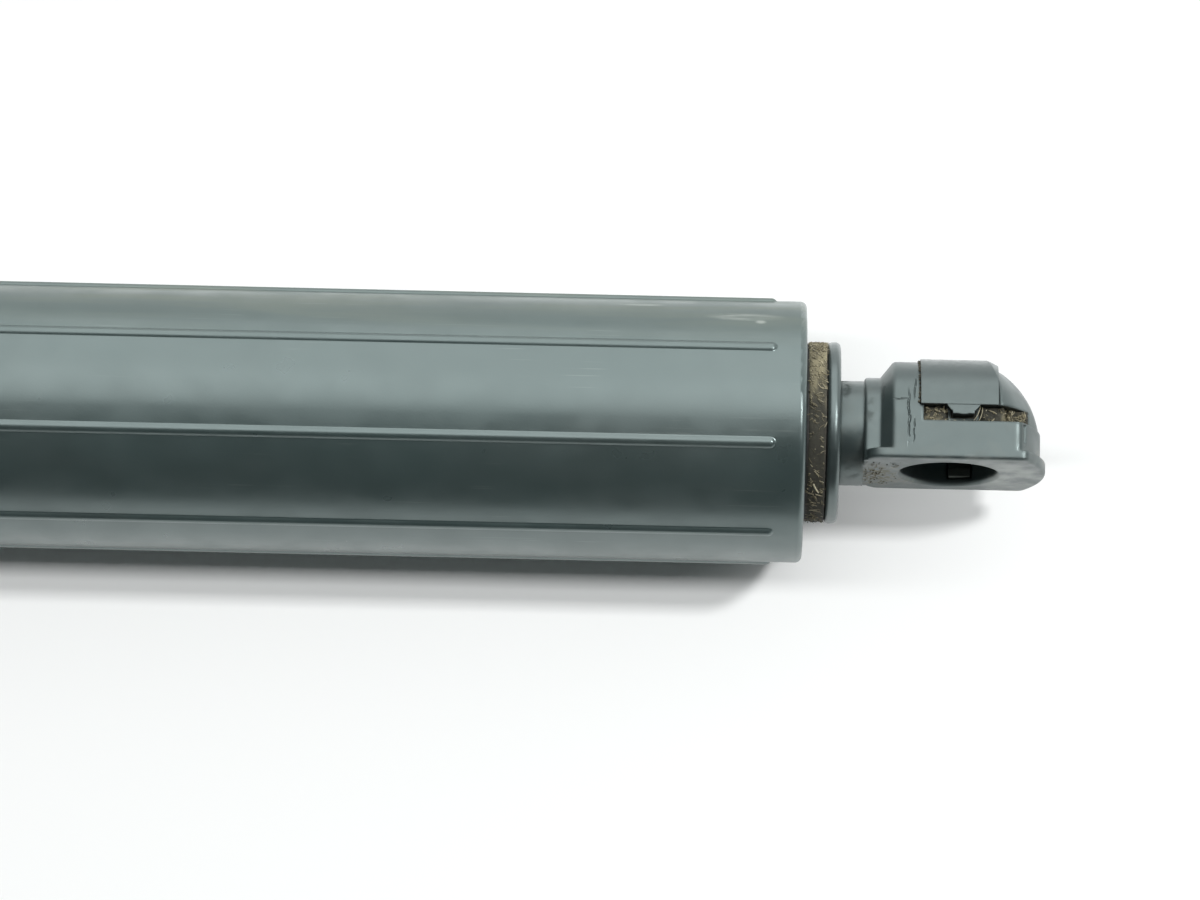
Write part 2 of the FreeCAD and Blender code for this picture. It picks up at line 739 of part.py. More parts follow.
def bar(outline, start, end):
    """A solid that carries an outline of the plane of Y and Z along X."""
    solid = Part.Face(outline).extrude(Vector(end - start, 0, 0))
    solid.translate(Vector(start, 0, 0))
    return solid


def tube_solid(inner, outer, start, end):
    axis = Vector(1, 0, 0)
    whole = Part.makeCylinder(outer, end - start, Vector(start, 0, 0), axis)
    return whole.cut(Part.makeCylinder(inner, end - start, Vector(start, 0, 0), axis))


def spun(solid, degrees):
    """A copy of a solid turned about the strut's axis."""
    turned_copy = solid.copy()
    turned_copy.rotate(Vector(), Vector(1, 0, 0), degrees)
    return turned_copy


def feature(label, shape):
    """A sub-part whose form needs its own surfaces."""
    thing = doc.addObject("Part::Feature", label)
    thing.Shape = shape
    return thing


def ring_gear():
    outside = number("places.gearbox_radius")
    start, end = number("dims.motor_plate_end"), number("dims.gearbox_cover_start")
    whole = Part.makeCylinder(outside, end - start, Vector(start, 0, 0), Vector(1, 0, 0))
    teeth = int(number("dims.ring_teeth"))
    half_tooth = math.pi / teeth
    return whole.cut(bar(gear_outline(teeth, half_tooth, internal=True), start, end))


def sun_gear(start, end):
    return bar(gear_outline(int(number("dims.sun_teeth")), 0.0), start, end)


def planet_gear(index, start):
    """One planet. A gap faces the sun, whose tooth lies on the planet's own radius."""
    teeth = int(number("dims.planet_teeth"))
    angle = 2 * math.pi * index / number("dims.planet_count")
    end = start + number("dims.planet_length")
    outline = gear_outline(teeth, angle + math.pi + math.pi / teeth)
    hole = number("dims.planet_pin_radius") + number("dims.turning_gap")
    gear = bar(outline, start, end).cut(
        Part.makeCylinder(hole, end - start, Vector(start, 0, 0), Vector(1, 0, 0)))
    circle = number("places.planet_circle")
    gear.translate(Vector(0, circle * math.cos(angle), circle * math.sin(angle)))
    return gear


def on_circle(count, radius, make):
    """Copies of a solid, made for the +Y side, spread evenly round the strut's axis."""
    first = make(radius)
    return [spun(first, 360.0 * index / count) for index in range(int(count))]


def planet_pins(start, end):
    radius = number("dims.planet_pin_radius")
    return on_circle(number("dims.planet_count"), number("places.planet_circle"), lambda r: Part.makeCylinder(
        radius, end - start, Vector(start, r, 0), Vector(1, 0, 0)))


def carrier_plate(start, end):
    """A carrier's disc, with a hole for each planet pin."""
    plate = Part.makeCylinder(number("places.carrier_radius"), end - start, Vector(start, 0, 0), Vector(1, 0, 0))
    hole = number("dims.planet_pin_radius") + number("dims.seat_gap")
    holes = on_circle(number("dims.planet_count"), number("places.planet_circle"), lambda r: Part.makeCylinder(
        hole, end - start, Vector(start, r, 0), Vector(1, 0, 0)))
    return plate.cut(Part.makeCompound(holes))


def hex_bar(width, start, end):
    corner = width / math.sqrt(3)
    points = [Vector(0, corner * math.cos(a), corner * math.sin(a))
              for a in (math.radians(60 * k) for k in range(7))]
    return bar(Part.makePolygon(points), start, end)


# Thread of the spindle and of its nut

def thread_solid(crest, root, grown, start, end):
    """A bar with several threads. grown widens each thread, for the hole in the nut."""
    starts = int(number("dims.thread_starts"))
    half_crest = math.radians(number("dims.thread_crest_angle")) / 2 + grown / crest
    half_root = half_crest + math.radians(number("dims.thread_flank_angle"))
    spots = []
    for index in range(starts):
        middle = 2 * math.pi * index / starts
        for angle, radius in ((-half_root, root), (-half_crest, crest), (half_crest, crest), (half_root, root)):
            turn = middle + angle
            spots.append(Vector(radius * math.cos(turn), radius * math.sin(turn), 0))
    outline = Part.makePolygon(spots + spots[:1])
    length = end - start
    spine = Part.Wire(Part.LineSegment(Vector(), Vector(0, 0, length)).toShape())
    lead = number("dims.thread_lead")
    guide = Part.Wire(Part.makeHelix(lead, length, 4 * crest))
    sweep = Part.BRepOffsetAPI.MakePipeShell(spine)
    sweep.setAuxiliarySpine(guide, False, 0)
    sweep.add(outline, False, False)
    sweep.build()
    sweep.makeSolid()
    solid = sweep.shape()
    # a piece that starts further along the same helix is turned to stay on it
    solid.rotate(Vector(), Vector(0, 0, 1), 360.0 * start / lead)
    solid.rotate(Vector(), Vector(0, 1, 0), 90)
    solid.translate(Vector(start, 0, 0))
    return solid


def spindle():
    crest = number("places.thread_radius")
    root = crest - number("dims.thread_depth")
    start, end = number("dims.thread_start"), number("places.thread_end")
    solid = thread_solid(crest, root, 0.0, start, end)
    axis = Vector(1, 0, 0)

    def stretch(radius, low, high):
        return Part.makeCylinder(radius, high - low, Vector(low, 0, 0), axis)

    seat = number("places.bearing_end")
    circlip_end = number("dims.bearing_start") - number("dims.seat_gap")
    circlip_start = circlip_end - number("dims.circlip_thickness") - number("dims.seat_gap")
    hub_end = number("dims.hub_end")
    gap = number("dims.seat_gap")
    journal = number("places.journal_radius")
    solid = solid.fuse([
        stretch(number("places.spindle_shoulder_radius"), seat, start),
        stretch(journal, hub_end, seat),
        hex_bar(number("places.hex_width") - 2 * gap, number("places.hex_start") + gap, hub_end),
        stretch(number("places.end_journal_radius"), end, number("places.spindle_end")),
    ])
    groove = tube_solid(journal - number("dims.circlip_depth"), 2 * journal, circlip_start, circlip_end)
    screw_hole = stretch(number("dims.end_screw_radius") + gap,
                         number("places.spindle_end") - number("dims.end_screw_length"),
                         number("places.spindle_end"))
    return solid.cut([groove, screw_hole])


def spindle_nut():
    start, end = number("dims.nut_start"), number("places.nut_end")
    flange_end = number("places.push_start")
    axis = Vector(1, 0, 0)
    body = Part.makeCylinder(number("places.push_inner") - number("dims.seat_gap"), end - flange_end,
                             Vector(flange_end, 0, 0), axis)
    flange = Part.makeCylinder(number("places.guide_inner") - number("dims.sliding_gap"), flange_end - start,
                               Vector(start, 0, 0), axis)
    play = number("dims.sliding_gap")
    crest = number("places.thread_radius")
    hole = thread_solid(crest + play, crest - number("dims.thread_depth") + play, play, start, end)
    return body.fuse(flange).cut(hole)


def coil_spring():
    """The spring as one wire on a helix between its two seats."""
    wire = number("dims.spring_wire_radius")
    mean = number("places.spring_radius")
    gap = number("dims.seat_gap")
    start, end = number("places.spring_start") + wire + gap, number("places.spring_end") - wire - gap
    turns = number("dims.spring_turns")
    helix = Part.Wire(Part.makeHelix((end - start) / turns, end - start, mean))
    section = Part.Wire(Part.Circle(Vector(mean, 0, 0), Vector(0, 1, 0), wire).toShape())
    solid = helix.makePipeShell([section], True, True)
    solid.rotate(Vector(), Vector(0, 1, 0), 90)
    solid.translate(Vector(start, 0, 0))
    return solid


# Motor

def sector(inner, outer, start, end, middle, spread):
    """A piece of a tube that spans an angle, in degrees, about a middle angle from +Y."""
    whole = tube_solid(inner, outer, start, end)
    reach = 4 * outer
    half = math.radians(spread) / 2
    points = [Vector(start, 0, 0)]
    for angle in (-half, -half / 3, half / 3, half):
        turn = math.radians(middle) + angle
        points.append(Vector(start, reach * math.cos(turn), reach * math.sin(turn)))
    wedge = Part.Face(Part.makePolygon(points + points[:1])).extrude(Vector(end - start, 0, 0))
    return whole.common(wedge)


def motor_magnets():
    outer = number("places.can_inner") - number("dims.seat_gap")
    over = number("dims.magnet_overhang")
    start, end = number("dims.core_start") - over, number("dims.core_end") + over
    inner = number("places.magnet_inner")
    return [sector(inner, outer, start, end, side, number("dims.magnet_angle")) for side in (90, 270)]


def rotor_core():
    start, end = number("dims.core_start"), number("dims.core_end")
    outer = number("places.core_radius")
    shoe = number("places.shoe_inner")
    wide = number("dims.pole_width")
    count = number("dims.pole_count")
    spread = 360.0 / count - number("dims.pole_slot_angle")
    pole = Part.makeBox(end - start, (shoe + outer) / 2, wide, Vector(start, 0, -wide / 2))
    head = sector(shoe, outer, start, end, 0, spread)
    hub = Part.makeCylinder(number("dims.core_hub_radius"), end - start, Vector(start, 0, 0), Vector(1, 0, 0))
    limbs = [spun(limb, 360.0 * k / count) for k in range(int(count)) for limb in (pole, head)]
    hole = number("dims.shaft_radius") + number("dims.seat_gap")
    return hub.fuse(limbs).cut(Part.makeCylinder(hole, end - start, Vector(start, 0, 0), Vector(1, 0, 0)))


def rotor_windings():
    """One closed coil round each pole."""
    gap = number("dims.seat_gap")
    start, end = number("dims.core_start"), number("dims.core_end")
    over = number("dims.coil_overhang")
    half_pole = number("dims.pole_width") / 2 + gap
    half = number("places.coil_half_width")
    low, high = number("dims.coil_inner_radius"), number("places.coil_outer")
    outside = Part.makeBox(end - start + 2 * over, high - low, 2 * half, Vector(start - over, low, -half))
    upright = [edge for edge in outside.Edges if abs(edge.tangentAt(edge.FirstParameter).y) > 0.99]
    outside = outside.makeFillet(number("dims.coil_corner"), upright)
    inside = Part.makeBox(end - start + 2 * gap, high - low, 2 * half_pole,
                          Vector(start - gap, low, -half_pole))
    coil = outside.cut(inside)
    count = number("dims.pole_count")
    return [spun(coil, 360.0 * k / count) for k in range(int(count))]


def commutator_segments():
    start = number("dims.commutator_start")
    end = start + number("dims.commutator_length")
    inner, outer = number("dims.commutator_core_radius"), number("dims.commutator_radius")
    count = number("dims.segment_count")
    slit = math.degrees(number("dims.segment_slit") / outer)
    spread = 360.0 / count - slit
    gap = number("dims.seat_gap")
    return [sector(inner + gap, outer, start, end, 360.0 * k / count, spread) for k in range(int(count))]


def brush_box(grown, inner):
    """The space of one carbon brush on the +Z side, with clearance added round it."""
    start, wide = number("dims.brush_start"), number("dims.brush_width")
    length, tall = number("dims.brush_length"), number("dims.brush_height")
    low = number("dims.commutator_radius") + number("dims.turning_gap")
    base = low if inner is None else inner
    return Part.makeBox(length + 2 * grown, wide + 2 * grown, low + tall - base + grown,
                        Vector(start - grown, -wide / 2 - grown, base))


def motor_brushes():
    low = number("dims.commutator_radius")
    start, long = number("dims.brush_start"), number("dims.brush_length")
    worn = Part.makeCylinder(low + number("dims.turning_gap"), long, Vector(start, 0, 0), Vector(1, 0, 0))
    block = brush_box(0.0, low - number("dims.brush_holder_wall")).cut(worn)
    return [block, spun(block, 180)]


def motor_end_bell():
    """The rear cover of the motor, with its bush seat and the two brush holders."""
    start = number("dims.bell_start")
    face = start + number("dims.bell_thickness")
    spigot_end = number("places.bell_spigot_end")
    gap = number("dims.seat_gap")
    axis = Vector(1, 0, 0)
    flange = Part.makeCylinder(number("places.can_radius"), face - start, Vector(start, 0, 0), axis)
    seat_outside = number("dims.bush_radius") + number("dims.bush_seat_wall")
    spigot = tube_solid(seat_outside, number("places.can_inner") - gap, face, spigot_end)
    wall = number("dims.brush_holder_wall")
    low = number("dims.commutator_radius") + number("dims.part_gap")
    holder_end = number("dims.brush_start") + number("dims.brush_length") + wall
    holder = Part.makeBox(holder_end - face, number("dims.brush_width") + 2 * (wall + gap),
                          number("dims.brush_height") + wall,
                          Vector(face, -number("dims.brush_width") / 2 - wall - gap, low))
    pocket = brush_box(gap, low)
    rear = number("dims.rear_bush_start")
    shaft_room = Part.makeCylinder(number("dims.shaft_radius") + number("dims.part_gap"), rear - start,
                                   Vector(start, 0, 0), axis)
    bush_seat = Part.makeCylinder(number("dims.bush_radius") + gap, spigot_end - rear, Vector(rear, 0, 0), axis)
    solid = flange.fuse([spigot, holder, spun(holder, 180)])
    return solid.cut([pocket, spun(pocket, 180), shaft_room, bush_seat])


def hall_board():
    """The round sensor board with two chips that face the magnet on the shaft."""
    start, thick = number("dims.board_place"), number("dims.board_thickness")
    radius = number("places.board_radius") - number("dims.seat_gap")
    board = tube_solid(number("dims.board_hole_radius"), radius, start, start + thick)
    size, tall = number("dims.chip_size"), number("dims.chip_height")
    chip = Part.makeBox(tall, size, size, Vector(start + thick, number("dims.sensor_magnet_radius"), -size / 2))
    return board.fuse([chip, spun(chip, 90)])


def motor_screws():
    head_top = number("dims.motor_plate_end")
    head_start = head_top - number("dims.motor_screw_head_height")
    radius, start = number("dims.motor_screw_radius"), number("dims.motor_screw_start")

    def screw(circle):
        shank = Part.makeCylinder(radius, head_start - start, Vector(start, circle, 0), Vector(1, 0, 0))
        head = Part.makeCylinder(number("dims.motor_screw_head_radius"), head_top - head_start,
                                 Vector(head_start, circle, 0), Vector(1, 0, 0))
        recess = hex_bar(number("dims.motor_screw_hex_width"),
                         head_top - number("dims.motor_screw_hex_depth"), head_top)
        recess.translate(Vector(0, circle, 0))
        return shank.fuse(head).cut(recess)

    return on_circle(number("dims.motor_screw_count"), number("dims.motor_screw_circle"), screw)


def screw_holes(start, end, radius):
    def hole(circle):
        return Part.makeCylinder(radius, end - start, Vector(start, circle, 0), Vector(1, 0, 0))

    return on_circle(number("dims.motor_screw_count"), number("dims.motor_screw_circle"), hole)


def motor_can():
    start, front = number("places.can_start"), number("dims.can_front")
    axis = Vector(1, 0, 0)
    gap = number("dims.seat_gap")
    shell = Part.makeCylinder(number("places.can_radius"), front - start, Vector(start, 0, 0), axis)
    hollow = Part.makeCylinder(number("places.can_inner"), front - number("dims.can_front_wall") - start,
                               Vector(start, 0, 0), axis)
    boss_end = front + number("dims.can_boss_length")
    boss = Part.makeCylinder(number("dims.can_boss_radius"), boss_end - front, Vector(front, 0, 0), axis)
    bush_start = number("places.front_bush_start")
    seat = Part.makeCylinder(number("dims.bush_radius") + gap, boss_end - bush_start,
                             Vector(bush_start, 0, 0), axis)
    holes = screw_holes(start, front, number("dims.motor_screw_radius") + gap)
    return shell.cut(hollow).fuse(boss).cut([seat] + holes)


def motor_bushes():
    """The two sintered bushes that the motor's shaft turns in."""
    bore, outside = number("dims.shaft_radius") + number("dims.turning_gap"), number("dims.bush_radius")
    long = number("dims.bush_length")
    starts = (number("dims.rear_bush_start"), number("places.front_bush_start"))
    return [tube_solid(bore, outside, start, start + long) for start in starts]


def motor_plate():
    start, end = number("dims.can_front"), number("dims.motor_plate_end")
    gap = number("dims.seat_gap")
    plate = tube_solid(number("dims.can_boss_radius") + gap, number("places.gearbox_radius"), start, end)
    head = end - number("dims.motor_screw_head_height")
    return plate.cut(screw_holes(start, end, number("dims.motor_screw_radius") + gap)
                     + screw_holes(head, end, number("dims.motor_screw_head_radius") + gap))


# Spindle bearing

def bearing_race(inner, outer):
    """One race, with a round groove for the balls."""
    start, end = number("dims.bearing_start"), number("places.bearing_end")
    groove = number("dims.bearing_ball_radius") + number("dims.turning_gap")
    middle = Vector((start + end) / 2, 0, 0)
    torus = Part.makeTorus(number("places.ball_pitch_radius"), groove, middle, Vector(1, 0, 0))
    return tube_solid(inner, outer, start, end).cut(torus)


def bearing_balls(grown=0.0):
    middle = (number("dims.bearing_start") + number("places.bearing_end")) / 2
    radius = number("dims.bearing_ball_radius") + grown
    return on_circle(number("dims.bearing_ball_count"), number("places.ball_pitch_radius"),
                     lambda r: Part.makeSphere(radius, Vector(middle, r, 0)))


def bearing_cage():
    middle = (number("dims.bearing_start") + number("places.bearing_end")) / 2
    half = number("dims.cage_length") / 2
    wall = number("dims.cage_thickness") / 2
    pitch = number("places.ball_pitch_radius")
    return tube_solid(pitch - wall, pitch + wall, middle - half, middle + half).cut(
        bearing_balls(number("dims.turning_gap")))


def cable_grommet():
    """The rubber grommet under the housing tube, with the hole that the cable comes in by."""
    place = number("dims.grommet_place")
    stem, flange = number("dims.grommet_radius"), number("dims.grommet_flange_radius")
    outside = number("dims.housing_radius") + number("dims.seat_gap")
    depth = outside + number("dims.grommet_flange_height")
    axis = Vector(0, 0, -1)
    top = number("dims.cap_hollow_radius") + number("dims.seat_gap")
    disc = Part.makeCylinder(flange, depth - top, Vector(place, 0, -top), axis)
    rim = [edge for edge in disc.Edges if abs(edge.CenterOfMass.z + depth) < 0.01
           and edge.Curve.TypeId == "Part::GeomCircle"]
    disc = disc.makeFillet(number("dims.grommet_flange_round"), rim)
    tube = Part.makeCylinder(outside, 8 * flange, Vector(place - 4 * flange, 0, 0), Vector(1, 0, 0))
    post = Part.makeCylinder(stem, depth - top, Vector(place, 0, -top), axis)
    hole = Part.makeCylinder(number("dims.cable_hole_radius"), 2 * depth, Vector(place, 0, 0), axis)
    return disc.cut(tube).fuse(post).cut(hole)


# End plugs

def end_stud(sign, origin):
    """The corners that both plugs share, from the stud's end to the ring's core."""
    far = lambda distance: "%s%s(%s)" % (origin, sign, distance)
    return far, [
        (far("dims.stud_end"), "0"),
        (far("dims.stud_end"), "dims.stud_radius"),
        (far("dims.neck_start"), "dims.stud_radius"),
        (far("dims.neck_start"), "dims.disc_radius"),
        (far("dims.disc_end"), "dims.disc_radius"),
        (far("dims.disc_end"), "dims.ring_core_radius"),
        (far("dims.ring_end"), "dims.ring_core_radius"),
    ]


def tip_end_plug():
    far, corners = end_stud("-", "dims.closed_length")
    inside = "places.cover_inner - dims.seat_gap"
    bore = "places.push_radius + dims.seat_gap"
    plug = turned("tip_end_plug", corners + [
        (far("dims.ring_end"), "dims.ring_radius"),
        (far("dims.plug_face"), "dims.plug_cone_radius"),
        (far("dims.plug_face"), inside),
        (far("dims.plug_end"), inside),
        (far("dims.plug_end"), bore),
        (far("dims.plug_bore_end"), bore),
        (far("dims.plug_bore_end"), "0"),
    ])
    round_rims(plug, "dims.disc_round", [(far("dims.neck_start"), "dims.disc_radius"),
                                         (far("dims.disc_end"), "dims.disc_radius")])
    return plug


def base_end_cap():
    far, corners = end_stud("", "")
    inside = "places.housing_inner - dims.seat_gap"
    cap = turned("base_end_cap_blank", corners + [
        (far("dims.ring_end"), "dims.housing_radius"),
        (far("dims.cap_start"), "dims.housing_radius"),
        (far("dims.cap_start"), inside),
        (far("dims.cap_end"), inside),
        (far("dims.cap_end"), "places.board_radius"),
        (far("dims.board_place"), "places.board_radius"),
        (far("dims.board_place"), "dims.cap_hollow_radius"),
        (far("dims.cap_hollow_start"), "dims.cap_hollow_radius"),
        (far("dims.cap_hollow_start"), "0"),
    ])
    round_rims(cap, "dims.disc_round", [(far("dims.neck_start"), "dims.disc_radius"),
                                        (far("dims.disc_end"), "dims.disc_radius")])
    hole = rod("cap_cable_hole", "z", "dims.grommet_radius + dims.seat_gap", "-dims.housing_radius", "0",
               ("dims.grommet_place", "0"))
    return cut("base_end_cap", cap, hole)


def cover_tube():
    """The outer tube with its round-ended ribs, each blended into the tube at its foot."""
    tube = sleeve("cover_blank", "places.cover_inner", "places.cover_radius",
                  "dims.cover_start", "places.cover_end")
    round_rims(tube, "dims.cover_rim_round", [("dims.cover_start", "places.cover_radius"),
                                              ("places.cover_end", "places.cover_radius")])
    centre = "(places.cover_radius + dims.rib_height - dims.rib_radius)"
    start, end = "dims.cover_start + dims.rib_end_offset", "places.cover_end - dims.rib_end_offset"
    ribs = []
    first, count = number("dims.rib_first_angle"), number("dims.rib_count")
    for index in range(int(count)):
        angle = "(dims.rib_first_angle + 360 * %d / dims.rib_count) * 1 deg" % index
        across = ("%s * cos(%s)" % (centre, angle), "%s * sin(%s)" % (centre, angle))
        name = "rib_%d" % (index + 1)
        crest = rod(name, "x", "dims.rib_radius", start, end, across)
        tail = ball(name + "_tail", "dims.rib_radius", start, *across)
        head = ball(name + "_head", "dims.rib_radius", end, *across)
        # each primitive's seam is turned into the wall, so that the foot's edges stay whole
        outward = Rotation(Vector(1, 0, 0), first + 360 * index / count)
        crest.Placement.Rotation = outward * Rotation(Vector(1, 0, 0), -90) * AXIS_TURNS["x"]
        tail.Placement.Rotation = outward * AXIS_TURNS["y"]
        head.Placement.Rotation = outward * AXIS_TURNS["y"] * Rotation(Vector(0, 0, 1), 180)
        ribs.append(fuse(name + "_whole", crest, tail, head))
    ribbed = fuse("ribbed_tube", tube, *ribs)
    skin = number("places.cover_radius")
    inside = (number(start), number(end))

    def at_foot(edge):
        """Whether an edge runs along a rib or round its end, on the tube's outer surface."""
        return all(abs(math.hypot(v.Y, v.Z) - skin) < 1e-3 and inside[0] - 1 < v.X < inside[1] + 1
                   for v in edge.Vertexes)

    return round_off("cover_tube", ribbed, [("dims.rib_foot_round", at_foot)])


def bearing_holder():
    """The holder that is pressed into the housing tube and carries the bearing and the guide tube."""
    outside = "places.housing_inner - dims.seat_gap"
    seat = "places.bearing_radius + dims.seat_gap"
    ring_end = "dims.bearing_start - dims.seat_gap"
    ring_start = "dims.bearing_start - dims.snap_ring_thickness - 3 * dims.seat_gap"
    groove = "places.bearing_radius + dims.snap_ring_depth + dims.seat_gap"
    guide = "places.guide_radius + dims.seat_gap"
    return turned("bearing_holder", [
        ("dims.holder_start", seat), (ring_start, seat), (ring_start, groove), (ring_end, groove),
        (ring_end, seat), ("places.bearing_end + dims.seat_gap", seat),
        ("places.bearing_end + dims.seat_gap", "places.holder_shoulder_radius"),
        ("dims.guide_start", "places.holder_shoulder_radius"), ("dims.guide_start", guide),
        ("dims.holder_end", guide), ("dims.holder_end", outside), ("dims.holder_start", outside),
    ])


def housing_tube():
    tube = sleeve("housing_tube_blank", "places.housing_inner", "dims.housing_radius",
                  "dims.cap_start + dims.seat_gap", "places.housing_end")
    hole = rod("housing_cable_hole", "z", "dims.grommet_radius + dims.seat_gap",
               "-2 * dims.housing_radius", "0", ("dims.grommet_place", "0"))
    return cut("housing_tube", tube, hole)


def guide_ring():
    """The slide ring on the open end of the housing tube, which the cover tube runs on."""
    start = "places.housing_end + dims.guide_ring_lip - dims.guide_ring_length"
    end = "places.housing_end + dims.guide_ring_lip"
    on_tube = "dims.housing_radius + dims.seat_gap"
    outside = "places.cover_inner - dims.sliding_gap"
    return turned("housing_guide_ring", [
        (start, on_tube), ("places.housing_end + dims.seat_gap", on_tube),
        ("places.housing_end + dims.seat_gap", "places.housing_inner"), (end, "places.housing_inner"),
        (end, outside), (start, outside),
    ])


def wiper_seal():
    """The seal in the mouth of the cover tube, with a lip that leans on the housing tube."""
    start = "dims.cover_start"
    lip = "dims.housing_radius + dims.sliding_gap"
    clear = "dims.housing_radius + 2 * dims.part_gap"
    return turned("wiper_seal", [
        (start, lip), (start + " + dims.wiper_lip", lip), (start + " + 2 * dims.wiper_lip", clear),
        (start + " + dims.wiper_length", clear),
        (start + " + dims.wiper_length", "places.cover_inner - dims.seat_gap"),
        (start, "places.cover_inner - dims.seat_gap"),
    ])


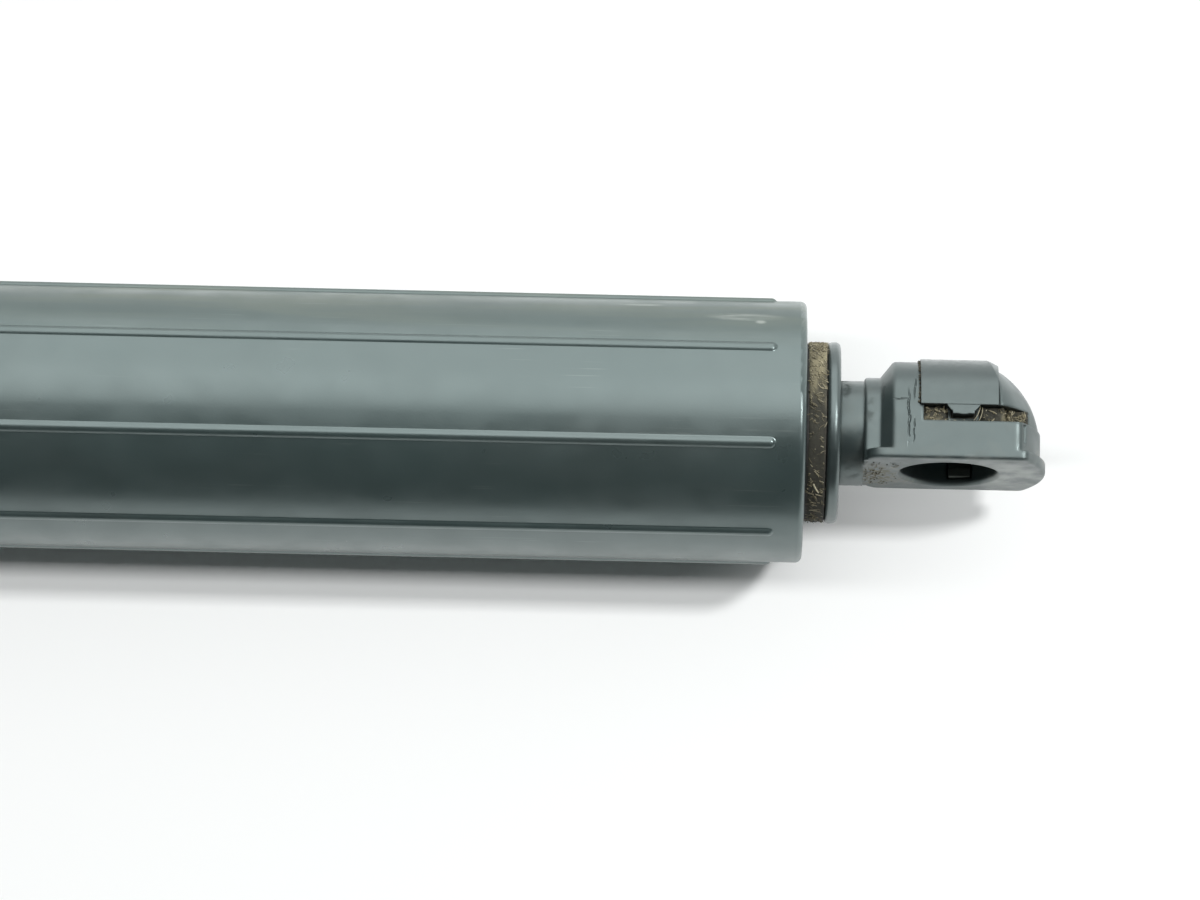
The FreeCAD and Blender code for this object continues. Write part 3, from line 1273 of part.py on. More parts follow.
def build():
    """Make every sub-part and return the list of named objects."""
    parts = {}

    def keep(node, thing):
        thing.Label = node
        parts[node] = thing

    def group(node, solids):
        keep(node, feature(node, Part.makeCompound(solids)))

    for end in ("base", "tip"):
        keep(end + "_socket", place_end(socket(end), end))
        keep(end + "_clip", place_end(clip(end), end))
    keep("tip_end_plug", tip_end_plug())
    keep("base_end_cap", base_end_cap())
    gap = " + dims.seat_gap"
    keep("tip_seal_ring", sleeve(
        "tip_seal_ring", "dims.ring_core_radius" + gap, "dims.ring_radius",
        "dims.closed_length - dims.ring_end" + gap,
        "dims.closed_length - dims.disc_end - dims.seat_gap"))
    keep("base_seal_ring", sleeve(
        "base_seal_ring", "dims.ring_core_radius" + gap, "dims.ring_radius",
        "dims.disc_end" + gap, "dims.ring_end - dims.seat_gap"))
    keep("cover_tube", cover_tube())
    keep("wiper_seal", wiper_seal())
    keep("housing_tube", housing_tube())
    keep("housing_guide_ring", guide_ring())
    keep("cable_grommet", feature("cable_grommet", cable_grommet()))
    keep("hall_board", feature("hall_board", hall_board()))
    keep("hall_magnet", sleeve(
        "hall_magnet", "dims.shaft_radius" + gap, "dims.sensor_magnet_radius", "dims.sensor_magnet_start",
        "dims.sensor_magnet_start + dims.sensor_magnet_length"))
    keep("rear_damper_ring", sleeve(
        "rear_damper_ring", "dims.damper_inner_radius", "places.damper_radius",
        "dims.cap_end", "dims.bell_start"))
    keep("motor_end_bell", feature("motor_end_bell", motor_end_bell()))
    keep("motor_can", feature("motor_can", motor_can()))
    group("motor_bushes", motor_bushes())
    group("motor_magnets", motor_magnets())
    group("motor_brushes", motor_brushes())
    keep("motor_shaft", rod("motor_shaft", "x", "dims.shaft_radius", "dims.shaft_start", "dims.shaft_end"))
    keep("rotor_core", feature("rotor_core", rotor_core()))
    group("rotor_windings", rotor_windings())
    keep("commutator_hub", sleeve(
        "commutator_hub", "dims.shaft_radius" + gap, "dims.commutator_core_radius", "dims.commutator_start",
        "dims.commutator_start + dims.commutator_length"))
    group("commutator_segments", commutator_segments())
    keep("motor_plate", feature("motor_plate", motor_plate()))
    group("motor_screws", motor_screws())
    keep("ring_gear", feature("ring_gear", ring_gear()))
    shaft_hole = Part.makeCylinder(
        number("dims.shaft_radius") + number("dims.seat_gap"), number("dims.closed_length"),
        Vector(), Vector(1, 0, 0))
    sun_start, sun_end = number("places.first_planet_start"), number("dims.shaft_end")
    keep("first_sun_gear", feature("first_sun_gear", sun_gear(sun_start, sun_end).cut(shaft_hole)))
    stages = (
        ("first", "places.first_planet_start", "places.first_carrier_start", "places.first_carrier_end"),
        ("second", "places.second_planet_start", "places.second_carrier_start", "places.second_carrier_end"),
    )
    for stage, planets_at, plate_at, plate_end in stages:
        start = number(planets_at)
        for index in range(int(number("dims.planet_count"))):
            node = "%s_planet_gear_%d" % (stage, index + 1)
            keep(node, feature(node, planet_gear(index, start)))
        group(stage + "_planet_pins", planet_pins(start, number(plate_end)))
    first = carrier_plate(number("places.first_carrier_start"), number("places.first_carrier_end"))
    second_sun = sun_gear(number("places.first_carrier_end"), number("places.second_carrier_start")
                          - number("dims.part_gap"))
    keep("first_carrier", feature("first_carrier", first.fuse(second_sun)))
    second = carrier_plate(number("places.second_carrier_start"), number("places.second_carrier_end"))
    hub = Part.makeCylinder(
        number("dims.hub_radius"), number("dims.hub_end") - number("places.second_carrier_end"),
        Vector(number("places.second_carrier_end"), 0, 0), Vector(1, 0, 0))
    socket_hole = hex_bar(number("places.hex_width"), number("places.hex_start"), number("dims.hub_end"))
    keep("second_carrier", feature("second_carrier", second.fuse(hub).cut(socket_hole)))
    keep("gearbox_cover", sleeve(
        "gearbox_cover", "dims.output_bush_radius" + gap, "places.gearbox_radius", "dims.gearbox_cover_start",
        "dims.gearbox_cover_end"))
    keep("output_bush", sleeve(
        "output_bush", "dims.hub_radius + dims.turning_gap", "dims.output_bush_radius",
        "dims.gearbox_cover_start", "dims.output_bush_end"))
    keep("front_damper_ring", sleeve(
        "front_damper_ring", "dims.damper_inner_radius", "places.damper_radius", "dims.gearbox_cover_end",
        "dims.holder_start"))
    keep("bearing_holder", bearing_holder())
    outer = number("places.bearing_radius")
    keep("bearing_outer_race", feature(
        "bearing_outer_race", bearing_race(outer - number("dims.outer_race_thickness"), outer)))
    inner = number("places.journal_radius") + number("dims.seat_gap")
    keep("bearing_inner_race", feature(
        "bearing_inner_race", bearing_race(inner, inner + number("dims.inner_race_thickness"))))
    group("bearing_balls", bearing_balls())
    keep("bearing_cage", feature("bearing_cage", bearing_cage()))
    keep("bearing_snap_ring", sleeve(
        "bearing_snap_ring", "places.snap_ring_inner_radius", "places.bearing_radius + dims.snap_ring_depth",
        "dims.bearing_start - dims.snap_ring_thickness - 2 * dims.seat_gap",
        "dims.bearing_start - 2 * dims.seat_gap"))
    keep("spindle_circlip", sleeve(
        "spindle_circlip", "places.journal_radius - dims.circlip_depth" + gap, "places.circlip_radius",
        "dims.bearing_start - dims.circlip_thickness - 1.5 * dims.seat_gap",
        "dims.bearing_start - 1.5 * dims.seat_gap"))
    keep("spindle", feature("spindle", spindle()))
    keep("spindle_end_guide", sleeve(
        "spindle_end_guide", "places.end_journal_radius" + gap, "places.push_inner - dims.sliding_gap",
        "places.thread_end" + gap, "places.spindle_end - dims.seat_gap"))
    head_end = "places.spindle_end + dims.end_screw_head_height"
    keep("spindle_end_screw", turned("spindle_end_screw", [
        ("places.spindle_end - dims.end_screw_length + dims.seat_gap", "0"),
        ("places.spindle_end - dims.end_screw_length + dims.seat_gap", "dims.end_screw_radius"),
        ("places.spindle_end", "dims.end_screw_radius"),
        ("places.spindle_end", "places.end_screw_head_radius"),
        (head_end, "places.end_screw_head_radius"), (head_end, "0")]))
    keep("spindle_nut", feature("spindle_nut", spindle_nut()))
    keep("push_tube", sleeve(
        "push_tube", "places.push_inner", "places.push_radius", "places.push_start" + gap,
        "places.push_end - dims.seat_gap"))
    keep("guide_tube", sleeve(
        "guide_tube", "places.guide_inner", "places.guide_radius", "dims.guide_start" + gap, "places.guide_end"))
    keep("guide_tube_bush", sleeve(
        "guide_tube_bush", "places.push_radius + dims.turning_gap", "places.guide_inner - dims.seat_gap",
        "places.guide_end - dims.guide_bush_length", "places.guide_end"))
    seat_inner = "places.guide_radius + dims.part_gap"
    seat_outer = "places.spring_radius + dims.spring_wire_radius + dims.part_gap"
    keep("base_spring_seat", sleeve(
        "base_spring_seat", seat_inner, seat_outer, "dims.holder_end", "places.spring_start"))
    keep("tip_spring_seat", sleeve(
        "tip_spring_seat", seat_inner, seat_outer, "places.spring_end", "places.plug_inner_end"))
    keep("coil_spring", feature("coil_spring", coil_spring()))
    return parts


def check(parts):
    """Stop if anything in the document failed or any sub-part isn't a sound solid."""
    for thing in doc.Objects:
        if {"Invalid", "Error"} & set(thing.State):
            raise RuntimeError("%s failed" % thing.Label)
    for node, thing in parts.items():
        shape = thing.Shape
        if shape.isNull() or not shape.isValid() or not shape.Solids:
            raise RuntimeError("%s has no sound solid" % node)
        if shape.Volume <= 0:
            raise RuntimeError("%s has no volume" % node)


def export(parts):
    os.makedirs("parts", exist_ok=True)
    for node, thing in parts.items():
        thing.Shape.exportStep("parts/%s.step" % node)
        bounds = thing.Shape.BoundBox
        print("%-22s %2d solids %10.1f mm3  x %7.2f..%7.2f" % (
            node, len(thing.Shape.Solids), thing.Shape.Volume, bounds.XMin, bounds.XMax))


made = build()
doc.recompute()
check(made)
export(made)
print(len(made), "sub-parts")
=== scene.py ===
"""Looks of the power tailgate strut: a finish for every solid, dirt and straw in its recesses, the studio.

Every size in a class is in millimetres unless its name says otherwise. Meshes are made in metres.
"""
import json
import logging
import math
from dataclasses import dataclass, field
from enum import Enum
from functools import cache

import bpy
import numpy as np
from mathutils import Matrix, Vector


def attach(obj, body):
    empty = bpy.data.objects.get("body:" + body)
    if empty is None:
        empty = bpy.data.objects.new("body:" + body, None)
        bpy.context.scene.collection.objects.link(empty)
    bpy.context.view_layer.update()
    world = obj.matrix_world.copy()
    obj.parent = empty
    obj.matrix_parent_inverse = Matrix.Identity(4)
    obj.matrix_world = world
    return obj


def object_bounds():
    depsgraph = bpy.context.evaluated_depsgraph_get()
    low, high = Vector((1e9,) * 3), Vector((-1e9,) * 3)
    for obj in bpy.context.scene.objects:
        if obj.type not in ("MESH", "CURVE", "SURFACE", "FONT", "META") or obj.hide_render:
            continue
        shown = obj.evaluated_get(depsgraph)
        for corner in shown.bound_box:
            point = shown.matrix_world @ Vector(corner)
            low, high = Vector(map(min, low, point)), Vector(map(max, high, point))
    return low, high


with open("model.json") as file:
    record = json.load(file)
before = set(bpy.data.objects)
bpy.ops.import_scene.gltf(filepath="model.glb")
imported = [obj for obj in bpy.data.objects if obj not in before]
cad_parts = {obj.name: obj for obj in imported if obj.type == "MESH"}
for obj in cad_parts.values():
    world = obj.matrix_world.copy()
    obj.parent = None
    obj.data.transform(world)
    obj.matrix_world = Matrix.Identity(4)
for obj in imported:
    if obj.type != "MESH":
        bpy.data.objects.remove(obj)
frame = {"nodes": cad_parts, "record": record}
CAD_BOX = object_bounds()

log = logging.getLogger("strut")

MM = 0.001
BEVEL_RAYS = 6
CREVICE_RAYS = 8
DRY = 0.9  # the roughness of dry dirt
Colour = tuple[float, float, float]
Triple = tuple[float, float, float]
Socket = bpy.types.NodeSocket
Value = float | Colour | Socket
Mesh = tuple[np.ndarray, np.ndarray]
TonedMesh = tuple[np.ndarray, np.ndarray, np.ndarray]


class End(Enum):
    """The two ends of the strut, with the place of each ball centre and the way towards the tube."""

    BASE = (0.0, 1.0)
    TIP = (480.0, -1.0)

    @property
    def centre(self) -> float:
        """The X of the ball's centre."""
        return self.value[0]

    @property
    def inward(self) -> float:
        """The sign of X that leads from the ball to the tube."""
        return self.value[1]


class Side(Enum):
    """The two flat sides of a ball socket."""

    UPPER = 1.0
    LOWER = -1.0


# Node trees

class Nodes:
    """A node tree, laid down a step at a time."""

    def __init__(self, owner: bpy.types.Material | bpy.types.World) -> None:
        """Turn on the nodes of a material or a world.

        Args:
            owner: the material or the world.
        """
        owner.use_nodes = True
        self.tree = owner.node_tree

    def add(self, kind: str, **settings: object) -> bpy.types.Node:
        """Add a node.

        Args:
            kind: the node's type.
            settings: properties to set on it.

        Returns:
            The node.
        """
        node = self.tree.nodes.new(kind)
        for key, value in settings.items():
            setattr(node, key, value)
        return node

    def feed(self, target: Socket, value: Value) -> None:
        """Link a socket to another one, or give it a number or a colour.

        Args:
            target: the input to feed.
            value: what goes into it.
        """
        if isinstance(value, Socket):
            self.tree.links.new(value, target)
        elif target.type == "RGBA":
            target.default_value = (*value, 1.0)
        else:
            target.default_value = value

    def sum_up(self, kind: str, first: Value, second: Value = 0.0) -> Socket:
        """Arithmetic on one or two values.

        Args:
            kind: the operation of the Math node.
            first: the first value.
            second: the second value, where there is one.

        Returns:
            The result.
        """
        node = self.add("ShaderNodeMath", operation=kind)
        self.feed(node.inputs[0], first)
        self.feed(node.inputs[1], second)
        return node.outputs[0]

    def times(self, first: Value, second: Value) -> Socket:
        """The product of two values."""
        return self.sum_up("MULTIPLY", first, second)

    def ramp(self, value: Value, stops: list[tuple[float, Colour]]) -> Socket:
        """A colour ramp.

        Args:
            value: the place on the ramp.
            stops: the place and the colour of each stop.

        Returns:
            The colour.
        """
        node = self.add("ShaderNodeValToRGB")
        elements = node.color_ramp.elements
        while len(elements) < len(stops):
            elements.new(0.5)
        for element, (spot, colour) in zip(elements, stops):
            element.position = spot
            element.color = (*colour, 1.0)
        self.feed(node.inputs[0], value)
        return node.outputs[0]

    def mix_shaders(self, share: Value, first: Socket, second: Socket, end: bpy.types.Node) -> None:
        """Mix two shaders and lead them to the tree's output.

        Args:
            share: how much of the second, from 0 to 1.
            first: the first shader.
            second: the second shader.
            end: the output node.
        """
        mix = self.add("ShaderNodeMixShader")
        for index, entry in enumerate((share, first, second)):
            self.feed(mix.inputs[index], entry)
        self.feed(end.inputs["Surface"], mix.outputs[0])


class Recipe(Nodes):
    """A material while it is being built, with its colour, roughness and normal so far."""

    def __init__(self, name: str) -> None:
        """Start a material with its Principled shader.

        Args:
            name: the material's name.
        """
        self.material = bpy.data.materials.new(name)
        super().__init__(self.material)
        self.shader = self.tree.nodes["Principled BSDF"]
        self.place = self.add("ShaderNodeTexCoord").outputs["Object"]
        self.colour: Value = (0.5, 0.5, 0.5)
        self.gloss: Value = 0.5
        self.normal: Socket | None = None

    def tint(self, share: Value, colour: Value) -> None:
        """Mix a share of another colour into the colour so far."""
        self.colour = self.blend(share, self.colour, colour)

    def roughen(self, share: Value, roughness: float) -> None:
        """Add a share of a roughness to the roughness so far."""
        self.gloss = self.sum_up("ADD", self.gloss, self.times(share, roughness))

    def cover(self, share: Value, colour: Value, dullness: float) -> None:
        """Lay a dull layer over the surface.

        Args:
            share: how much of the layer lies at a place, from 0 to 1.
            colour: its colour.
            dullness: the least roughness where it is whole.
        """
        self.tint(share, colour)
        self.gloss = self.sum_up("MAXIMUM", self.gloss, self.times(share, dullness))

    def set_shader(self, values: dict[str, Value]) -> None:
        """Feed the shader's own sockets by name."""
        for name, value in values.items():
            self.feed(self.shader.inputs[name], value)

    def span(self, value: Value, low: float, high: float, to_low: float = 0.0,
             to_high: float = 1.0) -> Socket:
        """A smooth step that carries low..high to to_low..to_high.

        Args:
            value: the value to carry over.
            low: where the step starts.
            high: where it ends.
            to_low: the result at and before its start.
            to_high: the result at and after its end.

        Returns:
            The stepped value.
        """
        node = self.add("ShaderNodeMapRange", interpolation_type="SMOOTHSTEP")
        for index, entry in enumerate((value, low, high, to_low, to_high)):
            self.feed(node.inputs[index], entry)
        return node.outputs[0]

    def blend(self, share: Value, first: Value, second: Value) -> Socket:
        """Mix two colours.

        Args:
            share: how much of the second, from 0 to 1.
            first: the first colour.
            second: the second colour.

        Returns:
            The mixed colour.
        """
        node = self.add("ShaderNodeMix", data_type="RGBA")
        self.feed(node.inputs[0], share)
        self.feed(node.inputs[6], first)
        self.feed(node.inputs[7], second)
        return node.outputs[2]

    def stretched(self, stretch: Triple) -> Socket:
        """Object coordinates multiplied by a factor along each axis.

        Args:
            stretch: the three factors; a small one draws a pattern out along its axis.

        Returns:
            The coordinates.
        """
        if stretch == (1.0, 1.0, 1.0):
            return self.place
        node = self.add("ShaderNodeMapping")
        self.feed(node.inputs["Vector"], self.place)
        node.inputs["Scale"].default_value = stretch
        return node.outputs[0]

    def noise(self, size: float, detail: float = 3.0, stretch: Triple = (1.0, 1.0, 1.0),
              distortion: float = 0.0) -> Socket:
        """Cloudy noise.

        Args:
            size: the size of its clouds in mm.
            detail: how many finer layers it has.
            stretch: factors on the coordinates.
            distortion: how much it is stirred.

        Returns:
            A value from 0 to 1.
        """
        node = self.add("ShaderNodeTexNoise")
        self.feed(node.inputs["Vector"], self.stretched(stretch))
        node.inputs["Scale"].default_value = 1.0 / (size * MM)
        node.inputs["Detail"].default_value = detail
        node.inputs["Distortion"].default_value = distortion
        return node.outputs["Fac"]

    def cells(self, size: float) -> Socket:
        """The distance to the nearest of scattered points.

        Args:
            size: their spacing in mm.

        Returns:
            The distance in units of the spacing.
        """
        node = self.add("ShaderNodeTexVoronoi", feature="F1")
        self.feed(node.inputs["Vector"], self.place)
        node.inputs["Scale"].default_value = 1.0 / (size * MM)
        return node.outputs["Distance"]

    def axes(self) -> list[Socket]:
        """Split the object coordinates.

        Returns:
            The three coordinates in metres.
        """
        node = self.add("ShaderNodeSeparateXYZ")
        self.feed(node.inputs[0], self.place)
        return list(node.outputs)

    def patch(self, centre: Triple, reach: Triple, wobble: float = 0.0) -> Socket:
        """A soft ellipsoid round a point, 1 in its middle and 0 outside it; noise of 2 mm stirs its outline.

        Args:
            centre: its middle in mm.
            reach: its half axes in mm.
            wobble: how far its outline strays, in mm.

        Returns:
            The share of the patch.
        """
        place = self.place
        if wobble:
            stir = self.add("ShaderNodeTexNoise")
            self.feed(stir.inputs["Vector"], place)
            stir.inputs["Scale"].default_value = 1.0 / (2.0 * MM)
            stray = self.add("ShaderNodeVectorMath", operation="MULTIPLY_ADD")
            self.feed(stray.inputs[0], stir.outputs["Color"])
            stray.inputs[1].default_value = (wobble * MM,) * 3
            stray.inputs[2].default_value = (-wobble * MM / 2,) * 3
            moved = self.add("ShaderNodeVectorMath", operation="ADD")
            self.feed(moved.inputs[0], place)
            self.feed(moved.inputs[1], stray.outputs[0])
            place = moved.outputs[0]
        node = self.add("ShaderNodeMapping")
        self.feed(node.inputs["Vector"], place)
        factors = [1.0 / (size * MM) for size in reach]
        node.inputs["Scale"].default_value = factors
        node.inputs["Location"].default_value = [-c * MM * f for c, f in zip(centre, factors)]
        length = self.add("ShaderNodeVectorMath", operation="LENGTH")
        self.feed(length.inputs[0], node.outputs[0])
        return self.span(length.outputs["Value"], 1.0, 0.25)

    def crevice(self, reach: float) -> Socket:
        """How far a point lies in a corner or recess.

        Args:
            reach: how far the corner is felt, in mm.

        Returns:
            0 in the open and 1 deep in a corner.
        """
        node = self.add("ShaderNodeAmbientOcclusion", samples=CREVICE_RAYS)
        node.inputs["Distance"].default_value = reach * MM
        return self.sum_up("SUBTRACT", 1.0, node.outputs["AO"])

    def relief(self, height: Value, depth: float) -> None:
        """Lay a bump on the normal so far.

        Args:
            height: its height, from 0 to 1.
            depth: what a height of 1 stands for, in mm; below 0 it goes inwards.
        """
        node = self.add("ShaderNodeBump", invert=depth < 0)
        node.inputs["Distance"].default_value = abs(depth) * MM
        self.feed(node.inputs["Height"], height)
        if self.normal is not None:
            self.feed(node.inputs["Normal"], self.normal)
        self.normal = node.outputs[0]


# Finishes

@dataclass(frozen=True)
class Finish:
    """A surface whose colour, gloss and grain wander a little, as any made surface's do."""

    name: str
    colour: Colour
    roughness: float = 0.5
    metallic: float = 0.0
    specular: float = 0.5
    ior: float = 1.5
    sheen_tint: Colour = (1.0, 1.0, 1.0)
    mottle: float = 0.12
    mottle_size: float = 7.0
    grain_size: float = 0.22
    grain_depth: float = 0.004
    grain_stretch: Triple = (1.0, 1.0, 1.0)
    edge_round: float = 0.0
    edge_light: float = 0.0
    # dirt and painted shade laid into corners found by ambient occlusion
    grime_and_shade: float = 0.0
    grime_and_shade_reach: float = 1.6
    grime_and_shade_colour: Colour = (0.026, 0.025, 0.019)
    gloss_swing: tuple[float, float] = (-0.05, 0.07)

    def make(self) -> bpy.types.Material:
        """Build the material.

        Returns:
            The finished material.
        """
        recipe = Recipe(self.name)
        wander = recipe.noise(self.mottle_size, 4.0)
        dark = tuple(c * (1.0 - self.mottle) for c in self.colour)
        light = tuple(min(1.0, c * (1.0 + self.mottle)) for c in self.colour)
        recipe.colour = recipe.blend(recipe.span(wander, 0.3, 0.7), dark, light)
        low, high = (self.roughness + swing for swing in self.gloss_swing)
        recipe.gloss = recipe.span(recipe.noise(self.mottle_size * 0.4, 3.0), 0.25, 0.75,
                                   max(0.05, low), min(1.0, high))
        if self.edge_round:
            bevel = recipe.add("ShaderNodeBevel", samples=BEVEL_RAYS)
            bevel.inputs["Radius"].default_value = self.edge_round * MM
            recipe.normal = bevel.outputs[0]
            if self.edge_light:
                self.wear_edges(recipe)
        if self.grime_and_shade:
            self.shade_and_soil_corners(recipe)
        self.weather(recipe)
        recipe.relief(recipe.noise(self.grain_size, 2.0, self.grain_stretch), self.grain_depth)
        recipe.set_shader({"Base Color": recipe.colour, "Roughness": recipe.gloss, "Normal": recipe.normal,
                           "Metallic": self.metallic, "Specular IOR Level": self.specular,
                           "Specular Tint": self.sheen_tint, "IOR": self.ior})
        return recipe.material

    def wear_edges(self, recipe: Recipe) -> None:
        """Lighten the sharp edges, where the rounded normal leaves the true one.

        Args:
            recipe: the material being built.
        """
        true = recipe.add("ShaderNodeNewGeometry").outputs["Normal"]
        dot = recipe.add("ShaderNodeVectorMath", operation="DOT_PRODUCT")
        recipe.feed(dot.inputs[0], recipe.normal)
        recipe.feed(dot.inputs[1], true)
        edge = recipe.span(dot.outputs["Value"], 0.985, 0.90)
        rubbed = recipe.times(edge, recipe.span(recipe.noise(1.1, 3.0), 0.42, 0.62))
        paler = tuple(min(1.0, 0.1 + 2.0 * c) for c in self.colour)
        recipe.tint(recipe.times(rubbed, self.edge_light), paler)

    def shade_and_soil_corners(self, recipe: Recipe) -> None:
        """Lay dry dirt and painted shade in the corners that ambient occlusion finds.

        Args:
            recipe: the material being built.
        """
        # painted shade: corners that ambient occlusion finds are darkened with a dirt colour, broken by noise
        corner = recipe.span(recipe.crevice(self.grime_and_shade_reach), 0.35, 0.8)
        broken = recipe.span(recipe.noise(0.7, 5.0), 0.36, 0.66)
        share = recipe.times(recipe.times(corner, broken), self.grime_and_shade)
        recipe.cover(share, self.grime_and_shade_colour, DRY)

    def weather(self, recipe: Recipe) -> None:
        """Lay on what use has left on the piece. A plain finish has nothing."""


@cache
def material_of(finish: Finish) -> bpy.types.Material:
    """The finish's material, made when it is first asked for."""
    return finish.make()


@dataclass(frozen=True)
class RibbedCoverPlastic(Finish):
    """The cover tube's plastic: dusty on its back, where a warm pale painted reflection lies too, with dull
    streaks, hairlines, specks and rubbed spots.
    """

    dust_and_reflection_colour: Colour = (0.14, 0.15, 0.10)
    dust_and_reflection_from: float = 6.0
    dust_and_reflection_to: float = 16.5
    cloud_colour: Colour = (0.10, 0.105, 0.10)
    hairline_colour: Colour = (0.20, 0.22, 0.21)
    speck_colour: Colour = (0.24, 0.24, 0.21)
    rubbed_colour: Colour = (0.30, 0.32, 0.29)
    dust_dullness: float = 0.35
    rubbed_spots: tuple[tuple[Triple, Triple], ...] = (
        ((451.4, 13.1, 12.3), (6.2, 1.1, 1.3)),
        ((453.6, 12.2, 13.2), (1.0, 0.6, 0.7)),
        ((437.0, 15.2, 9.6), (4.0, 0.5, 0.6)),
    )

    def weather(self, recipe: Recipe) -> None:
        """Dust towards +Y, which also paints a warm pale reflection there, streaks along the tube, scattered
        hairlines and rubbed spots.

        Args:
            recipe: the material being built.
        """
        # dust streaks on the back side, paler and warmer than the plastic: partly a painted reflection of the
        # bright surroundings behind
        back = recipe.span(recipe.axes()[1], self.dust_and_reflection_from * MM, self.dust_and_reflection_to * MM)
        streaks = recipe.noise(2.6, 4.0, (0.09, 1.0, 1.0), 0.4)
        dust_and_reflection = recipe.times(back, recipe.span(streaks, 0.38, 0.72, 0.08, 0.42))
        recipe.tint(dust_and_reflection, self.dust_and_reflection_colour)
        cloud = recipe.span(recipe.noise(16.0, 3.0, (0.3, 1.0, 1.0)), 0.48, 0.75, 0.0, 0.16)
        recipe.tint(cloud, self.cloud_colour)
        lines = recipe.noise(0.35, 1.0, (0.012, 1.0, 1.0))
        sparse = recipe.span(recipe.noise(9.0, 2.0), 0.52, 0.66)
        hair = recipe.times(recipe.span(lines, 0.66, 0.73, 0.0, 0.22), sparse)
        recipe.tint(hair, self.hairline_colour)
        specks = recipe.span(recipe.cells(7.0), 0.022, 0.012, 0.0, 0.6)
        recipe.tint(specks, self.speck_colour)
        broken = recipe.span(recipe.noise(0.9, 4.0, (0.12, 1.0, 1.0)), 0.30, 0.58, 0.1, 0.8)
        for centre, reach in self.rubbed_spots:
            spot = recipe.times(recipe.patch(centre, reach, 0.5), broken)
            recipe.tint(spot, self.rubbed_colour)
        recipe.roughen(dust_and_reflection, self.dust_dullness)


@dataclass(frozen=True)
class Stain:
    """A soft ragged patch of dirt, dust or soot. A patch with little dullness stays glossy."""

    centre: Triple
    reach: Triple
    share: float
    colour: Colour
    breaks: float = 0.8
    wobble: float = 1.2
    dullness: float = DRY

    def lay(self, recipe: Recipe) -> None:
        """Lay the stain over a finish.

        Args:
            recipe: the material being built.
        """
        ragged = recipe.span(recipe.noise(self.breaks, 5.0), 0.36, 0.60, 0.0, self.share)
        spot = recipe.times(recipe.patch(self.centre, self.reach, self.wobble), ragged)
        recipe.cover(spot, self.colour, self.dullness)


EARTH = (0.15, 0.125, 0.075)
SOOT = (0.010, 0.012, 0.011)
CHALK = (0.28, 0.29, 0.275)
# pale dust, made paler to paint fill light into the shaded mouths
DUST_AND_FILL_LIGHT = (0.25, 0.27, 0.24)


@dataclass(frozen=True)
class SocketPlastic(Finish):
    """The ball socket's plastic: a film of dust, stains in the tip socket's places, and scratches."""

    film_colour: Colour = (0.10, 0.10, 0.085)
    film_dullness: float = 0.4
    scratch_depth: float = 0.16
    stains: tuple[Stain, ...] = (
        Stain((488.5, -5.6, 0.0), (9.0, 1.4, 12.0), 0.9, CHALK, 5.0, dullness=0.36),
        Stain((482.0, -5.9, 8.5), (9.0, 1.1, 3.0), 0.4, CHALK, 3.0, dullness=0.36),
        Stain((470.0, -5.6, -1.0), (4.2, 1.4, 9.0), 0.95, EARTH),
        Stain((474.5, -5.6, -4.0), (5.0, 1.0, 3.0), 0.5, EARTH),
        Stain((492.3, -4.0, 3.0), (1.6, 1.6, 3.0), 0.6, EARTH),
        # the dust inside each mouth also paints fill light into the shaded cavity
        Stain((480.0, -2.5, 0.0), (8.0, 5.0, 6.5), 1.0, DUST_AND_FILL_LIGHT, 2.0),
        Stain((0.0, -2.5, 0.0), (8.0, 5.0, 6.5), 1.0, DUST_AND_FILL_LIGHT, 2.0),
        Stain((465.6, 5.0, 4.0), (1.3, 4.5, 6.0), 0.9, SOOT, 1.6, 1.5),
        Stain((468.9, 1.0, 6.5), (1.1, 5.5, 4.0), 0.7, SOOT, 1.6, 1.5),
        Stain((466.8, -5.5, 3.0), (3.0, 3.0, 4.0), 0.6, SOOT, 1.6, 1.5),
        Stain((470.6, 4.5, 6.5), (0.8, 4.0, 3.0), 0.7, SOOT, 1.6, 1.5),
    )
    scratches: tuple[tuple[Triple, Triple], ...] = (
        ((474.2, 0.6, 8.9), (0.22, 5.2, 2.2)),
        ((473.1, 2.9, 8.6), (1.3, 0.16, 1.6)),
        ((475.0, 4.4, 8.2), (0.18, 2.4, 2.0)),
        ((474.9, -1.6, 9.2), (0.14, 2.2, 0.8)),
    )

    def weather(self, recipe: Recipe) -> None:
        """A thin film of dust, the stains, with the dust in the mouths also painting fill light there, and
        the scratches cut into the surface.

        Args:
            recipe: the material being built.
        """
        film = recipe.span(recipe.noise(3.0, 5.0), 0.46, 0.74, 0.0, 0.22)
        recipe.tint(film, self.film_colour)
        for stain in self.stains:
            stain.lay(recipe)
        recipe.roughen(film, self.film_dullness)
        ragged = recipe.span(recipe.noise(0.5, 4.0), 0.34, 0.5)
        depth = None
        for centre, reach in self.scratches:
            mark = recipe.times(recipe.patch(centre, reach, 0.9), ragged)
            depth = mark if depth is None else recipe.sum_up("MAXIMUM", depth, mark)
        recipe.relief(depth, -self.scratch_depth)


@dataclass(frozen=True)
class CoatedClip(Finish):
    """The clip's coated steel: dull with dirt where its legs reach down into the socket."""

    leg_dirt: Colour = (0.055, 0.058, 0.048)
    legs_to: float = -1.5
    leg_dullness: float = 0.95

    def weather(self, recipe: Recipe) -> None:
        """Dirt on the legs, below the tongue."""
        low = recipe.span(recipe.axes()[1], 0.0, self.legs_to * MM)
        recipe.cover(low, self.leg_dirt, self.leg_dullness)


